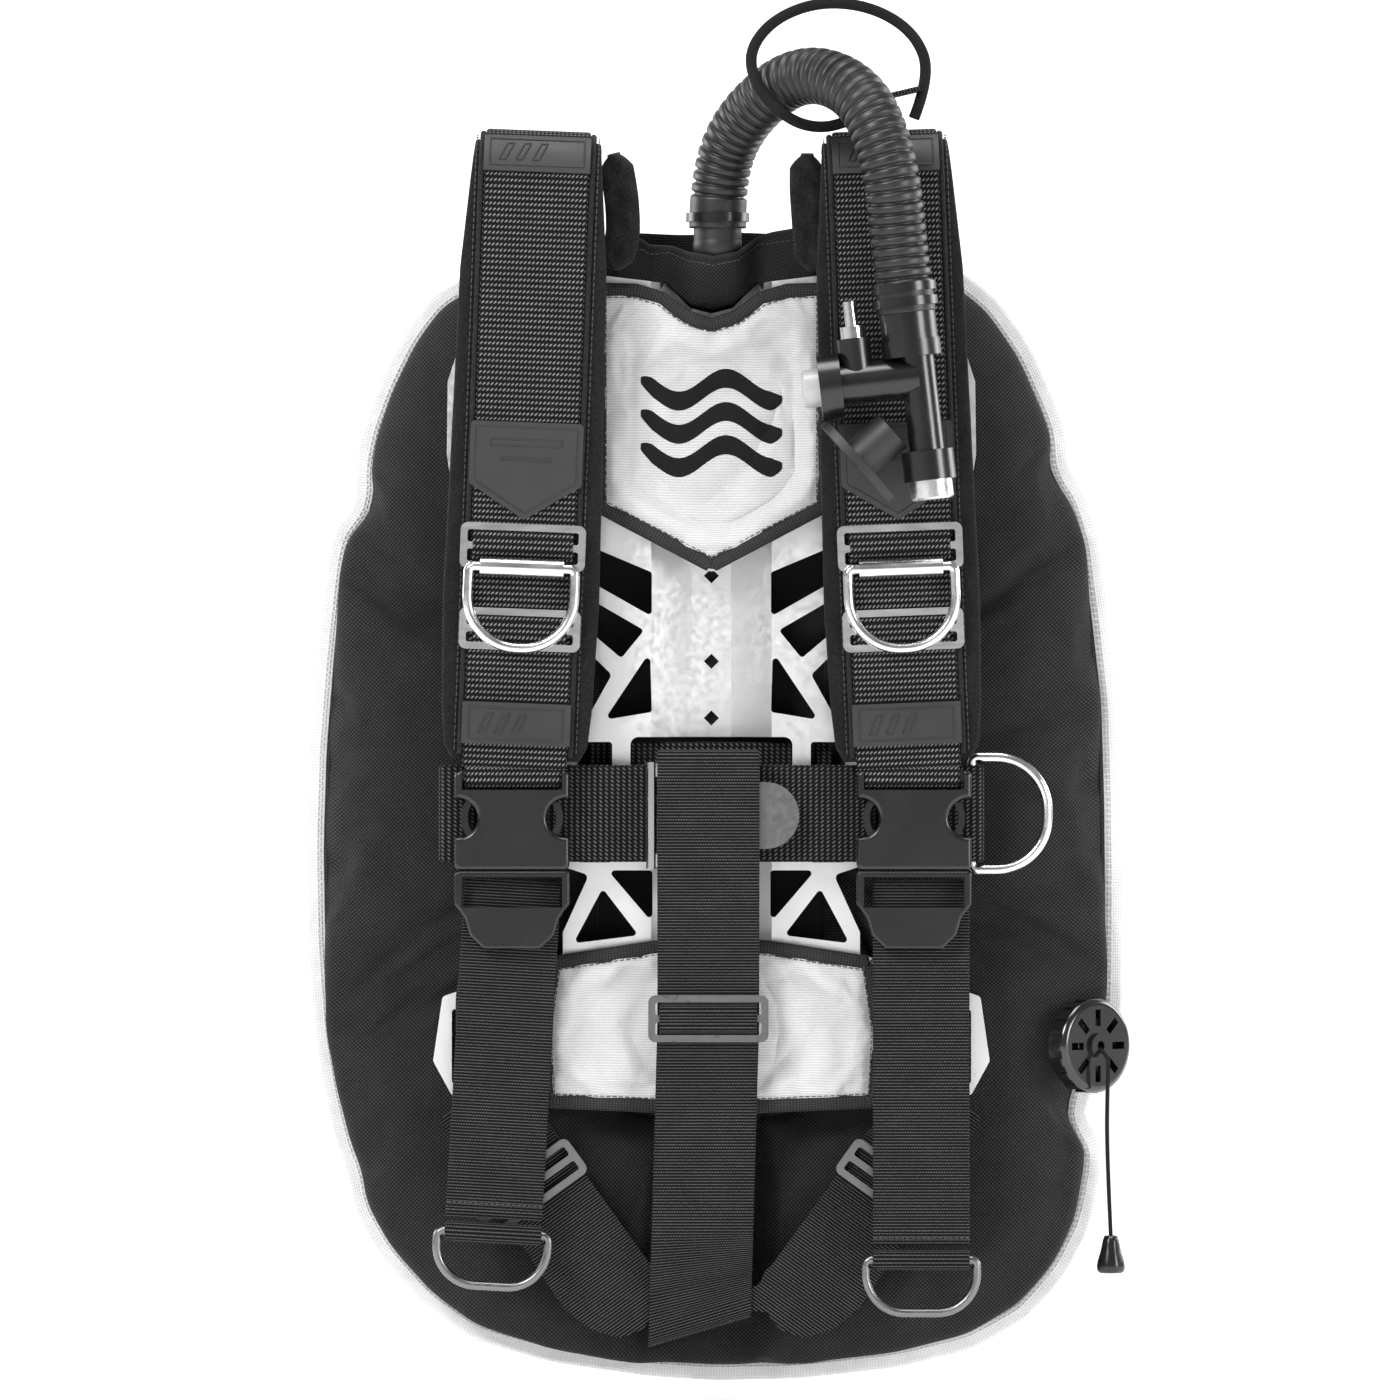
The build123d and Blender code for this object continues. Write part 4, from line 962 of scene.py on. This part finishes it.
def slanted(x, low, high, width=3.0, lean=4.0):
    return [(x, low), (x + width, low), (x + width + lean, high), (x + lean, high)]


KEEPER_R = 28.3
KEEPER_LINES = [rectangle(45, -7.4, 7.4)] + [slanted(x, -4.6, 4.6) for x in (-18, -10, -2)]
LABEL_BORDER = [[(-24.4, 124.4), (24.4, 124.4), (24.4, 98.4), (0, 83.2), (-24.4, 98.4)],
                rectangle(34, 115.5, 118.5), rectangle(24, 108.5, 110.0)]
web_radius = ARCH_R + WEB_OUT
slope_run = (CHEST_Y - WEB_OUT - ARCH_Y + math.cos(SLOPE) * web_radius) / math.sin(SLOPE)
bend_z = ARCH_Z - math.sin(SLOPE) * web_radius - math.cos(SLOPE) * slope_run
for side_name, sign in SIDES.items():
    def low_keeper(flat, sign=sign):
        return on_strap(sign, at_depth(flat, -59.6) - (0, 0, 17.75))

    def arch_keeper(flat, sign=sign):
        angle = math.radians(31) + flat[:, 1] / KEEPER_R
        return on_strap(sign, np.stack([flat[:, 0], ARCH_Y - KEEPER_R * np.cos(angle),
                                        ARCH_Z + KEEPER_R * np.sin(angle)], axis=1))

    def label(flat, sign=sign):
        y, z = -1.25, flat[:, 1] - bend_z
        return on_strap(sign, np.stack([flat[:, 0], -57.3 + y * math.cos(SLOPE) - z * math.sin(SLOPE),
                                        bend_z + y * math.sin(SLOPE) + z * math.cos(SLOPE)], axis=1))

    relief(f"{side_name}_low_keeper", KEEPER_LINES, low_keeper)
    relief(f"{side_name}_arch_keeper", KEEPER_LINES, arch_keeper)
    relief(f"{side_name}_label", LABEL_BORDER, label, 0.35)


# ---------------------------------------------------------------- plain wave motif on the upper pad
def on_pad(x, z):
    """How far forward the upper pad reaches at a point, in mm."""
    piece = bpy.data.objects["upper_pad"]
    hit, where, _, _ = piece.ray_cast(Vector((x * 0.001, -0.2, z * 0.001)), Vector((0, 1, 0)))
    return where.y * 1000 if hit else PAD_FRONT


WAVE_HALF = 34
bpy.context.view_layer.update()
for number, level in enumerate((143.0, 127.0, 111.0)):
    t = np.linspace(-WAVE_HALF, WAVE_HALF, 90)
    wave = level + 5.5 * np.sin(t / WAVE_HALF * 1.5 * math.pi + 0.6)
    thick = 4.6 * np.clip((WAVE_HALF + 0.6 - np.abs(t)) / 6, 0.1, 1) ** 0.5
    verts, faces, uv = [], [], []
    for x, z, half in zip(t, wave, thick):
        for share_across in np.linspace(-1, 1, 9):
            height_here = z + share_across * half
            raised = 0.3 * (1 - share_across ** 4) + 0.05
            verts.append((x, on_pad(x, height_here) - raised, height_here))
            uv.append((x, height_here))
    for i in range(len(t) - 1):
        for j in range(8):
            k = i * 9 + j
            faces.append((k, k + 1, k + 10, k + 9))
    add_mesh(f"wave_motif_{number}", verts, faces, EMBROIDERY, np.array(uv), slot="shoulder_pad_fabric")


# ---------------------------------------------------------------- CAD nodes and their finish
FINISH = {
    "backplate": (PLATE, 0.5), "wing_centre_panel": (COLLAR, 0.3), "webbing_keepers": (RUBBER, 0.4),
    "strap_labels": (RUBBER, 0.3), "d_ring_sliders": (STEEL, 0.35), "strap_sliders": (STEEL, 0.35),
    "waist_d_ring": (STEEL, 0), "waist_buckle_frame": (STEEL, 0.3), "waist_buckle_roller": (CHROME, 0.2),
    "waist_lever_pin": (STEEL, 0), "waist_buckle_lever": (DARK_STEEL, 0.5),
    "crotch_slider": (DARK_STEEL, 0.3), "leg_sliders": (DARK_STEEL, 0.3), "wing_elbow": (DARK_RUBBER, 0.3),
    "elbow_flange": (DARK_RUBBER, 0.3), "hose_ties": (PLASTIC, 0.2), "inflator_body": (PLASTIC, 0.4),
    "inflate_valve_housing": (PLASTIC, 0.4), "inflator_lower_cap": (PLASTIC, 0.4),
    "inflate_button": (PALE_PLASTIC, 0.4), "inflate_spring": (STEEL, 0), "deflate_button": (SILVER, 0.5),
    "deflate_spring": (STEEL, 0), "hose_nipple": (CHROME, 0.2), "mouthpiece": (DARK_RUBBER, 0.4),
    "dump_valve_body": (GLOSS, 0.3), "dump_valve_cap": (GLOSS, 0.5), "dump_valve_disc": (DARK_RUBBER, 0.2),
    "dump_valve_spring": (STEEL, 0),
}
for side_name in SIDES:
    FINISH[f"{side_name}_shoulder_d_ring"] = (STEEL, 0)
    FINISH[f"{side_name}_buckle_socket"] = (PLASTIC, 1.1)
    FINISH[f"{side_name}_buckle_clip"] = (PLASTIC, 1.1)
    FINISH[f"{side_name}_tail_d_ring"] = (DARK_STEEL, 0)
for node, (material, edge) in FINISH.items():
    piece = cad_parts[node]
    piece.data.materials.clear()
    piece.data.materials.append(material)
    for polygon in piece.data.polygons:
        polygon.material_index = 0
    if edge:
        bevel = piece.modifiers.new("edge", "BEVEL")
        bevel.width = edge * 0.001
        bevel.segments = 2
        bevel.limit_method = "ANGLE"
        bevel.angle_limit = math.radians(35)
        bevel.harden_normals = True


# ---------------------------------------------------------------- studio
def stage_plane(name, corners, level, rough, glow):
    """A flat pale piece of the studio, with a soft glow of its own."""
    material, _, shader = new_material(name)
    shader.inputs["Base Color"].default_value = grey(level)
    shader.inputs["Roughness"].default_value = rough
    shader.inputs["Emission Color"].default_value = grey(1.0)
    shader.inputs["Emission Strength"].default_value = glow
    mesh = bpy.data.meshes.new(name)
    mesh.from_pydata(corners, [], [tuple(range(len(corners)))])
    mesh.materials.append(material)
    piece = bpy.data.objects.new(name, mesh)
    scene.collection.objects.link(piece)


FLOOR_Z = -0.345
REACH = 40.0
BACKDROP_Y = 9.0
BACKDROP_HALF = 12
stage_plane("studio_floor", [(-REACH, -REACH, FLOOR_Z), (REACH, -REACH, FLOOR_Z), (REACH, REACH, FLOOR_Z),
                             (-REACH, REACH, FLOOR_Z)], 0.92, 0.8, 0.35)
stage_plane("studio_backdrop", [(-BACKDROP_HALF, BACKDROP_Y, FLOOR_Z), (BACKDROP_HALF, BACKDROP_Y, FLOOR_Z),
                                (BACKDROP_HALF, BACKDROP_Y, 12), (-BACKDROP_HALF, BACKDROP_Y, 12)],
            0.95, 0.9, 0.75)


def area_light(name, location, size, power):
    """A square light that points at the object."""
    data = bpy.data.lights.new(name, "AREA")
    data.shape = "RECTANGLE"
    data.size = size
    data.size_y = size
    data.energy = power
    lamp = bpy.data.objects.new(name, data)
    scene.collection.objects.link(lamp)
    lamp.location = location
    lamp.rotation_euler = (-Vector(location)).to_track_quat("-Z", "Y").to_euler()


area_light("key", (-1.6, -2.4, 1.9), 1.1, 92)
area_light("fill", (2.4, -1.8, 0.4), 1.0, 44)
area_light("top", (0.0, -0.5, 2.4), 1.2, 40)
area_light("rim_left", (-2.0, 0.9, 0.6), 1.0, 26)
area_light("rim_right", (2.0, 0.9, 0.6), 1.0, 22)
world = bpy.data.worlds.new("studio")
world.use_nodes = True
world.node_tree.nodes["Background"].inputs[0].default_value = (1, 1, 1, 1)
world.node_tree.nodes["Background"].inputs[1].default_value = 0.26
scene.world = world
scene.view_settings.view_transform = "Standard"
